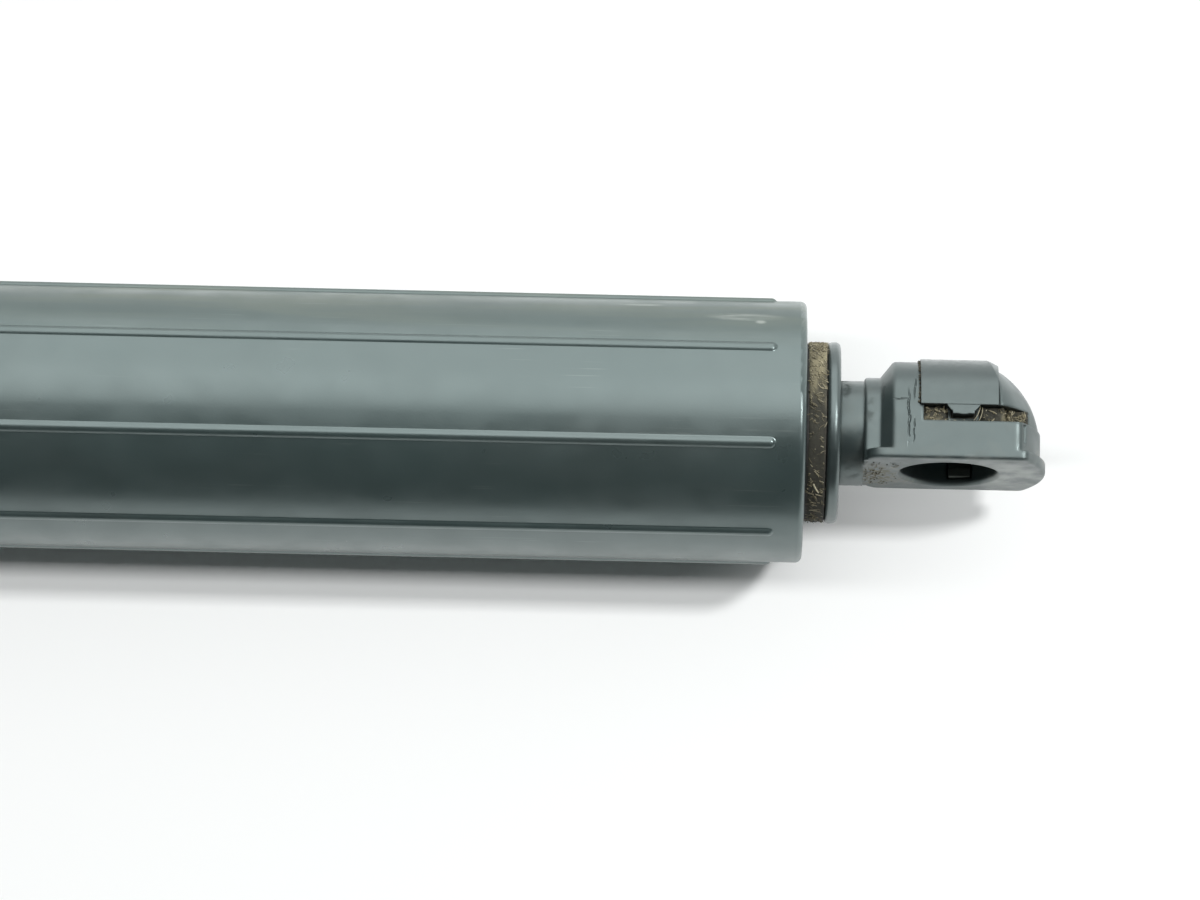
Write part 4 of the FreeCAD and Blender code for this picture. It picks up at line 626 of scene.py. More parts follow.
@dataclass(frozen=True)
class DryStuff(Finish):
    """Straw, chaff and grit: each bit has a tone of its own, kept in the attribute 'tone'."""

    tones: tuple[Colour, ...] = ()
    noise_share: float = 0.18

    def weather(self, recipe: Recipe) -> None:
        """Colour each bit by its tone, with a little of the noise kept.

        Args:
            recipe: the material being built.
        """
        tone = recipe.add("ShaderNodeAttribute", attribute_name="tone").outputs["Fac"]
        places = np.linspace(0.0, 1.0, len(self.tones)).tolist()
        shade = recipe.ramp(tone, list(zip(places, self.tones)))
        recipe.colour = recipe.blend(self.noise_share, shade, recipe.colour)


@dataclass(frozen=True)
class Windings(Finish):
    """Enamelled wire laid in a coil: fine stripes of painted shade across its run stand for the furrows
    between turns.
    """

    wire: float = 0.5
    furrow_shade_colour: Colour = (0.12, 0.05, 0.02)

    def weather(self, recipe: Recipe) -> None:
        """Paint shade into the furrows between the turns.

        Args:
            recipe: the material being built.
        """
        _, y, z = recipe.axes()
        across = recipe.sum_up("ADD", y, z)
        wave = recipe.sum_up("SINE", recipe.times(across, math.tau / (self.wire * MM)))
        # painted shade: dark stripes stand for the shaded furrows between the turns
        furrow_shade = recipe.span(wave, -0.2, -0.9, 0.0, 0.6)
        recipe.tint(furrow_shade, self.furrow_shade_colour)


SATIN = {"ior": 1.85, "sheen_tint": (0.84, 1.0, 0.985)}

FINISHES: dict[str, Finish] = {
    "cover_plastic": RibbedCoverPlastic("ribbed_cover_plastic", (0.036, 0.055, 0.054), 0.32, **SATIN,
                                        specular=0.65, mottle=0.07, mottle_size=14.0, grain_size=0.3,
                                        grain_depth=0.006),
    "socket_plastic": SocketPlastic("socket_plastic", (0.026, 0.036, 0.036), 0.36, **SATIN, specular=0.56,
                                    mottle=0.10, grain_size=0.25, grain_depth=0.005, edge_round=0.6,
                                    edge_light=0.12, grime_and_shade=0.9, grime_and_shade_reach=2.2),
    "clip_steel": CoatedClip("coated_clip_steel", (0.028, 0.036, 0.036), 0.34, **SATIN, specular=0.54,
                             mottle=0.12, mottle_size=3.0, grain_size=0.35, grain_depth=0.005,
                             edge_round=0.22, edge_light=0.15, grime_and_shade=0.6, grime_and_shade_reach=0.8),
    "plug_metal": Finish("collar_coating", (0.026, 0.035, 0.035), 0.33, **SATIN, specular=0.65, mottle=0.16,
                         mottle_size=4.0, grain_size=0.4, grain_depth=0.008, edge_light=0.15,
                         edge_round=0.3, grime_and_shade=0.8, grime_and_shade_reach=2.2),
    "seal_rubber": Finish("seal_rubber", (0.022, 0.021, 0.020), 0.68, mottle=0.2, mottle_size=2.5,
                          grain_size=0.3, grain_depth=0.012, grime_and_shade=0.5, grime_and_shade_reach=2.0),
    "housing_steel": Finish("painted_housing_steel", (0.020, 0.022, 0.024), 0.30, specular=0.6,
                            mottle=0.15, mottle_size=10.0, grain_size=0.8, grain_depth=0.006,
                            grime_and_shade=0.3, grime_and_shade_reach=3.0),
    "guide_plastic": Finish("slide_ring_plastic", (0.60, 0.58, 0.52), 0.42, mottle=0.05, edge_round=0.15),
    "nut_plastic": Finish("nut_plastic", (0.66, 0.62, 0.46), 0.40, mottle=0.05, edge_round=0.15),
    "gear_plastic": Finish("gear_plastic", (0.62, 0.60, 0.52), 0.38, mottle=0.05, edge_round=0.08),
    "gear_steel": Finish("sintered_gear_steel", (0.40, 0.40, 0.41), 0.42, 1.0, mottle=0.12, mottle_size=1.5,
                         grain_size=0.12, grain_depth=0.008, edge_round=0.08),
    "turned_steel": Finish("ground_steel", (0.56, 0.56, 0.57), 0.22, 1.0, mottle=0.05, grain_size=0.1,
                           grain_depth=0.002, grain_stretch=(1.0, 0.04, 0.04), edge_round=0.12),
    "sheet_steel": Finish("zinc_plated_steel", (0.52, 0.53, 0.55), 0.34, 1.0, mottle=0.10, mottle_size=5.0,
                          grain_size=0.3, grain_depth=0.003, grain_stretch=(0.05, 1.0, 1.0), edge_round=0.15),
    "hardware_steel": Finish("blackened_steel", (0.045, 0.045, 0.048), 0.36, 0.6, mottle=0.15,
                             mottle_size=2.0, edge_round=0.12, edge_light=0.4),
    "spring_steel": Finish("coated_spring_wire", (0.035, 0.036, 0.038), 0.34, specular=0.6, mottle=0.15,
                           mottle_size=5.0),
    "core_steel": Finish("stacked_core_sheets", (0.24, 0.24, 0.26), 0.45, 1.0, grain_size=0.5,
                         grain_depth=0.03, grain_stretch=(1.0, 0.02, 0.02)),
    "magnet_ferrite": Finish("ferrite", (0.045, 0.045, 0.048), 0.62, mottle=0.2, mottle_size=1.2,
                             grain_depth=0.01),
    "copper": Windings("enamelled_copper", (0.58, 0.22, 0.08), 0.30, 0.9, mottle=0.15, mottle_size=2.0),
    "commutator_copper": Finish("commutator_copper", (0.62, 0.30, 0.14), 0.25, 1.0, mottle=0.12,
                                mottle_size=1.5, grain_stretch=(1.0, 0.05, 0.05), edge_round=0.1),
    "carbon": Finish("brush_carbon", (0.03, 0.03, 0.032), 0.55, mottle=0.2, grain_depth=0.01, edge_round=0.1),
    "bronze": Finish("sintered_bronze", (0.42, 0.27, 0.11), 0.40, 1.0, mottle=0.14, mottle_size=1.2,
                     grain_depth=0.008, edge_round=0.1),
    "black_plastic": Finish("black_moulding", (0.018, 0.018, 0.020), 0.42, edge_round=0.15, edge_light=0.2),
    "board_laminate": Finish("board_laminate", (0.015, 0.095, 0.045), 0.35, mottle=0.12, edge_round=0.1),
}

STRAW = DryStuff("dry_straw", (0.16, 0.14, 0.09), 0.66, mottle=0.35, mottle_size=0.5, grain_size=0.12,
                 grain_depth=0.02, tones=((0.035, 0.036, 0.028), (0.22, 0.195, 0.115), (0.62, 0.57, 0.40)))
GRIME = DryStuff("caked_dirt", (0.07, 0.065, 0.045), 0.88, mottle=0.5, mottle_size=0.45, grain_size=0.12,
                 grain_depth=0.06, tones=((0.014, 0.016, 0.014), (0.055, 0.054, 0.042), (0.30, 0.27, 0.17)))


# Meshes from whole arrays

def stand(name: str, data: bpy.types.ID) -> bpy.types.Object:
    """Put a mesh, a lamp or a camera into the scene.

    Args:
        name: the object's name.
        data: what it shows.

    Returns:
        The object.
    """
    thing = bpy.data.objects.new(name, data)
    bpy.context.scene.collection.objects.link(thing)
    return thing


def mesh_piece(name: str, points: np.ndarray, faces: list[list[int]], tone: np.ndarray,
               finish: Finish) -> bpy.types.Object:
    """Put arrays into a mesh object that stands at the origin.

    Args:
        name: the object's name.
        points: (n, 3) places in metres.
        faces: corner numbers of each face, anticlockwise from outside.
        tone: (n,) shade of each point, from 0 to 1.
        finish: its finish.

    Returns:
        The object.
    """
    mesh = bpy.data.meshes.new(name)
    mesh.from_pydata(points.tolist(), [], faces)
    mesh.validate()
    shade = mesh.attributes.new("tone", "FLOAT", "POINT")
    shade.data.foreach_set("value", tone.astype(np.float32))
    mesh.polygons.foreach_set("use_smooth", np.ones(len(mesh.polygons), bool))
    mesh.materials.append(material_of(finish))
    log.info("%s: %d faces", name, len(faces))
    return stand(name, mesh)


def unit(vectors: np.ndarray) -> np.ndarray:
    """Vectors divided by their lengths."""
    return vectors / np.maximum(np.linalg.norm(vectors, axis=-1, keepdims=True), 1e-12)


def outward(points: np.ndarray, faces: np.ndarray) -> np.ndarray:
    """The faces of closed bodies, turned where they face inwards.

    The volume is the sum over the fans of triangles (a, b, c) of a . (b x c) / 6, and is below nothing for
    bodies whose faces all point inwards.

    Args:
        points: (n, 3) places.
        faces: (m, k) corner numbers.

    Returns:
        The faces, anticlockwise from outside.
    """
    corners = points[faces] - points.mean(0)
    fans = [np.sum(corners[:, 0] * np.cross(corners[:, k], corners[:, k + 1]))
            for k in range(1, faces.shape[1] - 1)]
    return faces if sum(fans) > 0 else faces[:, ::-1]


def ease(value: np.ndarray, low: float, high: float) -> np.ndarray:
    """A straight climb from 0 at low to 1 at high."""
    return np.clip((value - low) / (high - low), 0, 1)


def grid_quads(rows: int, columns: int) -> Mesh:
    """The point numbers of a grid and its faces, which run along rows and then columns.

    Args:
        rows: rows of the grid.
        columns: columns of the grid.

    Returns:
        (rows, columns) numbers and the four-cornered faces.
    """
    number = np.arange(rows * columns).reshape(rows, columns)
    quads = np.stack([number[:-1, :-1], number[1:, :-1], number[1:, 1:], number[:-1, 1:]], -1)
    return number, quads.reshape(-1, 4)


def fibres(spots: np.ndarray, along: np.ndarray, out: np.ndarray, length: np.ndarray, width: np.ndarray,
           bend: np.ndarray, flat: float = 0.45) -> Mesh:
    """Short bent stalks, each a tube of flattened square section that thins towards both ends.

    The centre line at t from -1/2 to 1/2 is spot + along * length * t + side * bend * (4 t^2 - 1), and the
    half width there is width / 2 * (1 - 1.6 t^2).

    Args:
        spots: (n, 3) middles.
        along: (n, 3) directions of the stalks.
        out: (n, 3) directions that their flat sides face.
        length: (n,) lengths.
        width: (n,) widths.
        bend: (n,) sideways sag of the ends.
        flat: thickness as a share of the width.

    Returns:
        The points and the four-cornered faces.
    """
    rings, sides = 6, 4
    along = unit(along)
    side = unit(np.cross(out, along))
    up = np.cross(along, side)
    t = np.linspace(-0.5, 0.5, rings)[None, :, None]
    centre = (spots[:, None] + along[:, None] * length[:, None, None] * t
              + side[:, None] * bend[:, None, None] * (4 * t ** 2 - 1))
    half = width[:, None, None] / 2 * (1 - 1.6 * t ** 2)
    turn = (np.arange(sides) + 0.5) * math.tau / sides
    ring = (np.cos(turn)[None, None, :, None] * side[:, None, None]
            + flat * np.sin(turn)[None, None, :, None] * up[:, None, None])
    points = centre[:, :, None] + half[..., None] * ring * math.sqrt(2)
    count = len(spots)
    first = np.arange(count)[:, None, None] * rings * sides
    step = np.arange(rings - 1)[None, :, None] * sides
    here = np.arange(sides)[None, None, :]
    after = (here + 1) % sides
    walls = np.stack([first + step + here, first + step + after,
                      first + step + sides + after, first + step + sides + here], axis=-1).reshape(-1, 4)
    start = np.arange(count)[:, None] * rings * sides
    low = start + np.arange(sides)[::-1][None]
    high = start + (rings - 1) * sides + np.arange(sides)[None]
    return points.reshape(-1, 3), np.concatenate([walls, low, high])


def grains(spots: np.ndarray, size: np.ndarray, rng: np.random.Generator) -> Mesh:
    """Rough crumbs, each an icosahedron whose corners are pulled in and out at random.

    Args:
        spots: (n, 3) middles.
        size: (n,) mean radii.
        rng: where the chance comes from.

    Returns:
        The points and the three-cornered faces.
    """
    g = (1 + math.sqrt(5)) / 2
    corners = unit(np.array([[-1, g, 0], [1, g, 0], [-1, -g, 0], [1, -g, 0], [0, -1, g], [0, 1, g],
                             [0, -1, -g], [0, 1, -g], [g, 0, -1], [g, 0, 1], [-g, 0, -1], [-g, 0, 1]], float))
    shell = np.array([[0, 11, 5], [0, 5, 1], [0, 1, 7], [0, 7, 10], [0, 10, 11], [1, 5, 9], [5, 11, 4],
                      [11, 10, 2], [10, 7, 6], [7, 1, 8], [3, 9, 4], [3, 4, 2], [3, 2, 6], [3, 6, 8],
                      [3, 8, 9], [4, 9, 5], [2, 4, 11], [6, 2, 10], [8, 6, 7], [9, 8, 1]])
    count = len(spots)
    stretch = rng.uniform(0.6, 1.4, (count, 1, 3))
    pull = rng.uniform(0.7, 1.25, (count, 12, 1))
    points = spots[:, None] + corners[None] * pull * stretch * size[:, None, None]
    faces = shell[None] + 12 * np.arange(count)[:, None, None]
    return points.reshape(-1, 3), faces.reshape(-1, 3)


def lumps(rows: int, columns: int, cells: tuple[int, int], rng: np.random.Generator) -> np.ndarray:
    """Smooth random heights on a grid: random values at coarse places, joined by a cosine ease.

    Args:
        rows: rows of the grid.
        columns: columns of the grid.
        cells: coarse places along the rows and the columns.
        rng: where the chance comes from.

    Returns:
        (rows, columns) heights from 0 to 1.
    """
    coarse = rng.random((cells[0] + 1, cells[1] + 1))
    u = np.linspace(0, cells[0] - 1e-6, rows)
    v = np.linspace(0, cells[1] - 1e-6, columns)
    i, j = u.astype(int), v.astype(int)
    a = ((1 - np.cos(math.pi * (u - i))) / 2)[:, None]
    b = ((1 - np.cos(math.pi * (v - j))) / 2)[None]
    return ((1 - a) * (1 - b) * coarse[np.ix_(i, j)] + a * (1 - b) * coarse[np.ix_(i + 1, j)]
            + (1 - a) * b * coarse[np.ix_(i, j + 1)] + a * b * coarse[np.ix_(i + 1, j + 1)])


def rough_heights(rows: int, columns: int, rng: np.random.Generator) -> np.ndarray:
    """Three layers of lumps, each finer and lower than the last.

    Args:
        rows: rows of the grid.
        columns: columns of the grid.
        rng: where the chance comes from.

    Returns:
        (rows, columns) heights, mostly from 0 to 1.
    """
    layers = [(max(2, rows // s), max(3, columns // s), w) for s, w in ((9, 0.5), (4, 0.32), (2, 0.18))]
    return sum(w * lumps(rows, columns, (r, c), rng) for r, c, w in layers)


def closed_slab(top: np.ndarray, bottom: np.ndarray) -> Mesh:
    """A closed body between two grids of places that lie one over the other.

    Args:
        top: (rows, columns, 3) outer places, anticlockwise along rows then columns from outside.
        bottom: (rows, columns, 3) inner places.

    Returns:
        The points and the four-cornered faces.
    """
    rows, columns = top.shape[:2]
    points = np.concatenate([top.reshape(-1, 3), bottom.reshape(-1, 3)])
    number, quads = grid_quads(rows, columns)
    under = quads[:, ::-1] + rows * columns
    rim = np.concatenate([number[0, :-1], number[:-1, -1], number[-1, :0:-1], number[:0:-1, 0]])
    following = np.roll(rim, -1)
    walls = np.stack([rim, following, following + rows * columns, rim + rows * columns], -1)
    return points, np.concatenate([quads, under, walls])


def closed_hoop(section: np.ndarray) -> Mesh:
    """A closed ring from loops that follow one another round the strut.

    Args:
        section: (turns, k, 3) places, turn by turn and round each loop.

    Returns:
        The points and the four-cornered faces.
    """
    turns, k = section.shape[:2]
    number = np.arange(turns * k).reshape(turns, k)
    over = np.roll(number, -1, axis=0)
    quads = np.stack([number, np.roll(number, -1, axis=1), np.roll(over, -1, axis=1), over], -1)
    return section.reshape(-1, 3), quads.reshape(-1, 4)


# Dirt and straw

@dataclass
class Litter:
    """Loose dry stuff on one end of the strut, gathered piece by piece and made into one mesh."""

    name: str
    body: str
    slot: str
    rng: np.random.Generator
    points: list[np.ndarray] = field(default_factory=list)
    faces: list[list[int]] = field(default_factory=list)
    tones: list[np.ndarray] = field(default_factory=list)

    def take(self, points: np.ndarray, faces: np.ndarray, tone: np.ndarray) -> None:
        """Add points and faces to the mesh.

        Args:
            points: (n, 3) places in mm.
            faces: corner numbers, counted from 0.
            tone: (n,) shades.
        """
        first = sum(len(p) for p in self.points)
        self.points.append(points)
        self.faces.extend((outward(points, faces) + first).tolist())
        self.tones.append(tone)

    def stalks(self, spots: np.ndarray, out: np.ndarray, lengths: tuple[float, float],
               widths: tuple[float, float], tones: tuple[float, float], lift: float = 0.25,
               lean: np.ndarray | None = None) -> None:
        """Scatter stalks that lie on a surface.

        Args:
            spots: (n, 3) middles in mm.
            out: (n, 3) the surface's normals.
            lengths: least and most length.
            widths: least and most width.
            tones: darkest and lightest tone.
            lift: how far a stalk may point out of the surface, as a share.
            lean: (3,) a direction that the stalks tend to, if any.
        """
        count = len(spots)
        out = unit(out)
        free = self.rng.normal(size=(count, 3))
        if lean is not None:
            free = 0.45 * free + lean[None] * self.rng.choice([-1.0, 1.0], (count, 1))
        along = free - (1 - lift) * out * np.sum(free * out, axis=1, keepdims=True)
        length = self.rng.uniform(*lengths, count)
        width = self.rng.uniform(*widths, count)
        bend = length * self.rng.uniform(-0.12, 0.12, count)
        points, faces = fibres(spots, along, out, length, width, bend)
        tone = np.repeat(self.rng.uniform(*tones, count), len(points) // count)
        self.take(points, faces, tone)

    def crumbs(self, spots: np.ndarray, sizes: tuple[float, float], tones: tuple[float, float]) -> None:
        """Scatter crumbs.

        Args:
            spots: (n, 3) middles in mm.
            sizes: least and most radius.
            tones: darkest and lightest tone.
        """
        count = len(spots)
        size = self.rng.uniform(*sizes, count)
        points, faces = grains(spots, size, self.rng)
        self.take(points, faces, np.repeat(self.rng.uniform(*tones, count), 12))

    def lay(self, finish: Finish) -> bpy.types.Object:
        """Make the mesh and let it ride on its body.

        Args:
            finish: its finish.

        Returns:
            The object.
        """
        points, tone = np.concatenate(self.points) * MM, np.concatenate(self.tones)
        piece = mesh_piece(self.name, points, self.faces, tone, finish)
        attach(piece, self.body)
        return piece


@dataclass(frozen=True)
class Stray:
    """A single listed fibre, seen from the ball with the tube behind it."""

    middle: Triple
    length: float
    width: float
    way: Triple
    tone: float


TIP_STRAYS = (
    Stray((-18.4, -9.7, 8.3), 1.9, 0.26, (0.35, -0.75, 0.2), 0.95),
    Stray((-9.4, -5.3, 3.4), 1.6, 0.12, (0.55, 0.05, 0.75), 1.0),
    Stray((-10.2, -5.45, 1.6), 1.3, 0.10, (0.7, -0.05, -0.5), 0.8),
    Stray((-5.3, -4.2, 3.0), 0.9, 0.10, (0.6, 0.3, 0.5), 1.0),
    Stray((-5.0, -3.6, 3.6), 0.8, 0.09, (0.2, 0.5, 0.6), 0.9),
    Stray((3.5, 1.0, 9.1), 2.2, 0.10, (0.35, 0.75, 0.15), 0.9),
    Stray((4.0, 0.9, 9.0), 2.0, 0.10, (0.25, 0.9, 0.05), 0.8),
    Stray((-8.4, 1.8, 7.6), 1.0, 0.09, (0.9, 0.1, 0.1), 0.9),
)


@dataclass
class SocketEnd:
    """The dirt that a ball socket has gathered: in its side slots, along its clip and round its seal."""

    end: End
    body: str
    seed: int
    soiling: float = 1.0
    ring_inner: float = 12.0
    ring_outer: float = 12.22
    ring_near: float = 17.16
    ring_far: float = 19.75
    slot_floor: float = 7.9
    slot_low: float = -0.1
    slot_high: float = 2.15
    slot_from: float = -3.8
    slot_to: float = 10.6
    tail_from: float = 7.2
    tail_floor: float = 4.5
    window: tuple[float, float] = (-0.25, 3.65)
    clip_edge: float = -4.26
    arch_centre: float = 0.6
    arch_radius: float = 9.45
    mouth_face: float = -5.5
    neck_corner: float = -11.5
    strays: tuple[Stray, ...] = ()

    def at(self, x: np.ndarray, y: np.ndarray, z: np.ndarray) -> np.ndarray:
        """Places in the strut's frame from ones seen from the ball with the tube behind it.

        Args:
            x: along the strut, away from the tube.
            y: across, away from the mouth.
            z: across, towards the camera at the tip end.

        Returns:
            (n, 3) places in mm.
        """
        turn = -self.end.inward
        x, y, z = np.broadcast_arrays(x, y, z)
        return np.stack([self.end.centre + turn * x, y, turn * z], axis=-1)

    def toward(self, x: np.ndarray, y: np.ndarray, z: np.ndarray) -> np.ndarray:
        """Directions in the strut's frame from ones seen as in at()."""
        return self.at(x, y, z) - self.at(0.0, 0.0, 0.0)

    def slot_crust(self, side: Side, rng: np.random.Generator) -> TonedMesh:
        """Caked dirt on the floor of a side slot, low where the clip's leg passes and deep in the tail.

        The height over the floor at (x, y) is a cover factor times lumps; the factor falls to nothing at the
        slot's ends and over the leg's window.

        Args:
            side: which side of the socket.
            rng: where the chance comes from.

        Returns:
            The points in mm, the faces and the tones.
        """
        rows, columns = 18, 96
        y = np.linspace(self.slot_low + 0.02, self.slot_high - 0.05, rows)[:, None]
        x = np.linspace(self.slot_from + 0.03, self.slot_to - 0.03, columns)[None]
        rough = rough_heights(rows, columns, rng)
        near, far = self.window
        clear = 1 - ease(x, near - 0.7, near) * ease(-x, -far - 0.7, -far)
        low_strip = 0.28 * ease(-y, -0.5, -0.2)
        share = self.soiling * np.maximum(clear, low_strip) * (0.55 + 0.45 * ease(-y, -1.9, -0.9))
        tail = ease(x, self.tail_from - 0.1, self.tail_from + 0.5)
        floor = self.slot_floor - 0.12 - tail * (self.slot_floor - self.tail_floor - 1.4)
        height = floor + share * (0.25 + 0.85 * rough)
        points, faces = closed_slab(self.at(x, y, side.value * height),
                                    self.at(x, y, side.value * (floor - 0.1)))
        pale = np.maximum(ease(-x, 0.6, 1.4), ease(x, 6.2, 7.4))
        tone = np.clip(0.02 + rough * (0.35 + 0.75 * pale), 0, 1).ravel()
        return points, faces, np.concatenate([tone, np.zeros(tone.size)])

    def ring_crust(self, rng: np.random.Generator) -> TonedMesh:
        """Caked dirt round the seal ring, thickest on its back and upper side.

        Each loop of the hoop goes out at one edge, across at radius inner + height, and in at the other.

        Args:
            rng: where the chance comes from.

        Returns:
            The points in mm, the faces and the tones.
        """
        turns, k = 220, 14
        angle = np.linspace(0, math.tau, turns, endpoint=False)[:, None]
        rough = rough_heights(turns, k, rng)
        rough[-8:] = (rough[-8:] * np.linspace(1, 0, 8)[:, None] + rough[:1] * np.linspace(0, 1, 8)[:, None])
        thick = 0.5 + 0.5 * np.cos(angle - math.radians(50))
        radius = self.ring_outer + self.soiling * (0.03 + 0.2 * thick) * rough
        across = np.linspace(self.ring_near, self.ring_far, k)[None]
        edge = np.minimum(1, np.arange(k)[::-1] / 1.5)[None]
        radius = self.ring_inner + (radius - self.ring_inner) * edge
        x, y, z = -across + 0 * angle, radius * np.cos(angle), radius * np.sin(angle)
        outer = self.at(x, y, z)
        closing = self.ring_inner - 0.05
        inner = self.at(x[:, ::-1], closing * np.cos(angle) + 0 * across,
                        closing * np.sin(angle) + 0 * across)
        section = np.concatenate([outer, inner[:, 1:-1]], axis=1)
        points, faces = closed_hoop(section)
        upper = np.clip(np.cos(angle - math.radians(25)) * 1.7 - 0.55, 0, 1)
        tone = np.clip(0.06 + 0.3 * upper + rough * (0.5 + 0.6 * upper), 0, 1)
        return points, faces, np.concatenate([tone, np.zeros((turns, k - 2))], axis=1).ravel()

    def gather(self) -> list[bpy.types.Object]:
        """Make the caked dirt and the straw.

        Returns:
            The new pieces.
        """
        rng = np.random.default_rng(self.seed)
        word = self.end.name.lower()
        crust = Litter(word + "_caked_dirt", self.body, "seal_rubber", rng)
        for side in Side:
            crust.take(*self.slot_crust(side, rng))
        crust.take(*self.ring_crust(rng))
        pieces = [crust.lay(GRIME)]
        straw = Litter(word + "_straw", self.body, "seal_rubber", rng)
        for scatter in (self.corner_dirt, self.seam_grit, self.slot_straw, self.ring_straw, self.stray_straw):
            scatter(straw)
        return pieces + [straw.lay(STRAW)]

    def corner_dirt(self, straw: Litter) -> None:
        """Crumbs and short fibres in the corner between the neck and the face that the mouth opens in.

        Args:
            straw: what they are added to.
        """
        rng = straw.rng
        count = int(100 * self.soiling)
        x = self.neck_corner + np.abs(rng.normal(0, 2.0, count))
        z = rng.uniform(-6.5, 6.5, count)
        y = self.mouth_face - rng.uniform(-0.04, 0.04, count)
        spots = self.at(x, y, z)
        out = self.toward(0 * x, 0 * x - 1.0, 0 * x)
        straw.crumbs(spots, (0.04, 0.13), (0.0, 0.6))
        straw.stalks(spots[::9], out[::9], (0.6, 1.9), (0.06, 0.11), (0.4, 1.0), 0.25)

    def seam_grit(self, straw: Litter) -> None:
        """Grit and short fibres in the seam along the clip's edge.

        Args:
            straw: what they are added to.
        """
        rng = straw.rng
        count = int(150 * self.soiling)
        angle = rng.uniform(0.08, math.pi - 0.08, count)
        angle += 0.05 * np.sin(9.0 * angle)
        x = self.clip_edge + rng.normal(-0.02, 0.10, count)
        radius = self.arch_radius + rng.uniform(-0.10, 0.06, count)
        y, z = self.arch_centre + radius * np.sin(angle), radius * np.cos(angle)
        straw.crumbs(self.at(x, y, z), (0.07, 0.20), (0.0, 0.15))
        pick = slice(0, count // 5)
        out = self.toward(0 * x, y - self.arch_centre, z)
        straw.stalks(self.at(x, y, z)[pick], out[pick], (0.3, 0.8), (0.05, 0.10), (0.0, 0.7))

    def slot_straw(self, straw: Litter) -> None:
        """Straw and chaff in the two side slots, more of it in their deep tails.

        Args:
            straw: what it is added to.
        """
        rng = straw.rng
        for side in Side:
            for low, high, share, floor, top in (
                    (self.slot_from + 0.4, self.window[0] - 0.5, 42, self.slot_floor, 0.75),
                    (self.window[1] + 0.5, self.tail_from, 14, self.slot_floor, 0.7),
                    (self.tail_from, self.slot_to - 0.3, 52, self.slot_floor - 1.4, 1.3)):
                count = int(share * self.soiling)
                x = rng.uniform(low, high, count)
                y = rng.uniform(0.05, 1.75, count)
                z = side.value * (floor + rng.uniform(0.25, top, count))
                spots = self.at(x, y, z)
                out = self.toward(0 * x, 0 * x, side.value + 0 * x)
                straw.stalks(spots, out, (0.4, 1.4), (0.06, 0.15), (0.0, 0.95), 0.35)
                straw.crumbs(spots + rng.normal(0, 0.12, spots.shape), (0.07, 0.22), (0.0, 0.6))
            count = int(14 * self.soiling)
            x = rng.uniform(*self.window, count)
            spots = self.at(x, rng.uniform(-0.06, 0.06, count), side.value * rng.uniform(8.4, 9.2, count))
            straw.crumbs(spots, (0.06, 0.14), (0.1, 0.7))

    def ring_straw(self, straw: Litter) -> None:
        """Fibres matted on the seal ring: dense and pale on the upper back, sparse below.

        Args:
            straw: what they are added to.
        """
        rng = straw.rng
        lean = self.toward(0.75, 0.0, 0.0)
        for middle, spread, share, tones in ((20, 18, 420, (0.3, 1.0)), (62, 22, 140, (0.05, 0.9)),
                                             (180, 70, 200, (0.1, 0.85))):
            count = int(share * self.soiling)
            angle = np.radians(middle + rng.normal(0, spread, count))
            x = -rng.uniform(self.ring_near + 0.05, self.ring_far - 0.25, count)
            radius = self.ring_outer + rng.uniform(-0.02, 0.20, count)
            y, z = radius * np.cos(angle), radius * np.sin(angle)
            out = self.toward(0 * x, y, z)
            way = lean + 0.8 * np.stack([0 * y, -np.sin(angle), np.cos(angle)], -1).mean(0)
            straw.stalks(self.at(x, y, z), out, (0.35, 1.2), (0.05, 0.13), tones, 0.12, way)
            straw.crumbs(self.at(x, y, z)[::2], (0.06, 0.17), (0.0, tones[1] * 0.7))

    def stray_straw(self, straw: Litter) -> None:
        """Single fibres that stick out, each one listed.

        Args:
            straw: what they are added to.
        """
        for stray in self.strays:
            out = self.toward(0.0, *stray.middle[1:])
            points, faces = fibres(self.at(*stray.middle)[None], self.toward(*stray.way)[None], out[None],
                                   np.array([stray.length]), np.array([stray.width]),
                                   np.array([0.08 * stray.length]))
            straw.take(points, faces, np.full(len(points), stray.tone))


# Studio

class Lights(Enum):
    """What a soft box lights."""

    EVERYTHING = "everything"
    FLOOR_ONLY = "floor only"
    ALL_BUT_FLOOR = "all but the floor"


@dataclass(frozen=True)
class SoftBox:
    """A rectangular lamp. Nodes named in passes cast no shadow in its light."""

    name: str
    place: Triple
    size: tuple[float, float]
    brightness: float
    lights: Lights
    aim: Triple = (450.0, 0.0, 0.0)
    passes: tuple[str, ...] = ()

    def hang(self, floor: bpy.types.Object) -> None:
        """Hang the lamp. Its power is pi times its brightness times its area.

        Args:
            floor: the floor, which some lamps light alone or leave out.
        """
        light = bpy.data.lights.new(self.name, "AREA")
        light.shape = "RECTANGLE"
        light.size, light.size_y = (s * MM for s in self.size)
        light.energy = math.pi * self.brightness * light.size * light.size_y
        holder = stand(self.name, light)
        spot, target = Vector(self.place) * MM, Vector(self.aim) * MM
        back = (spot - target).normalized()
        side = Vector((1.0, 0.0, 0.0))
        side = (side - back * side.dot(back)).normalized()
        turn = Matrix((side, back.cross(side), back)).transposed()
        holder.matrix_world = Matrix.Translation(spot) @ turn.to_4x4()
        holder.visible_camera = False
        if self.lights is not Lights.EVERYTHING:
            chosen = bpy.data.collections.new(self.name + "_lights")
            chosen.objects.link(floor)
            if self.lights is Lights.ALL_BUT_FLOOR:
                chosen.collection_objects[0].light_linking.link_state = "EXCLUDE"
            holder.light_linking.receiver_collection = chosen
        if self.passes:
            spared = bpy.data.collections.new(self.name + "_passes")
            for index, node in enumerate(self.passes):
                spared.objects.link(frame["nodes"][node])
                spared.collection_objects[index].light_linking.link_state = "EXCLUDE"
            holder.light_linking.blocker_collection = spared


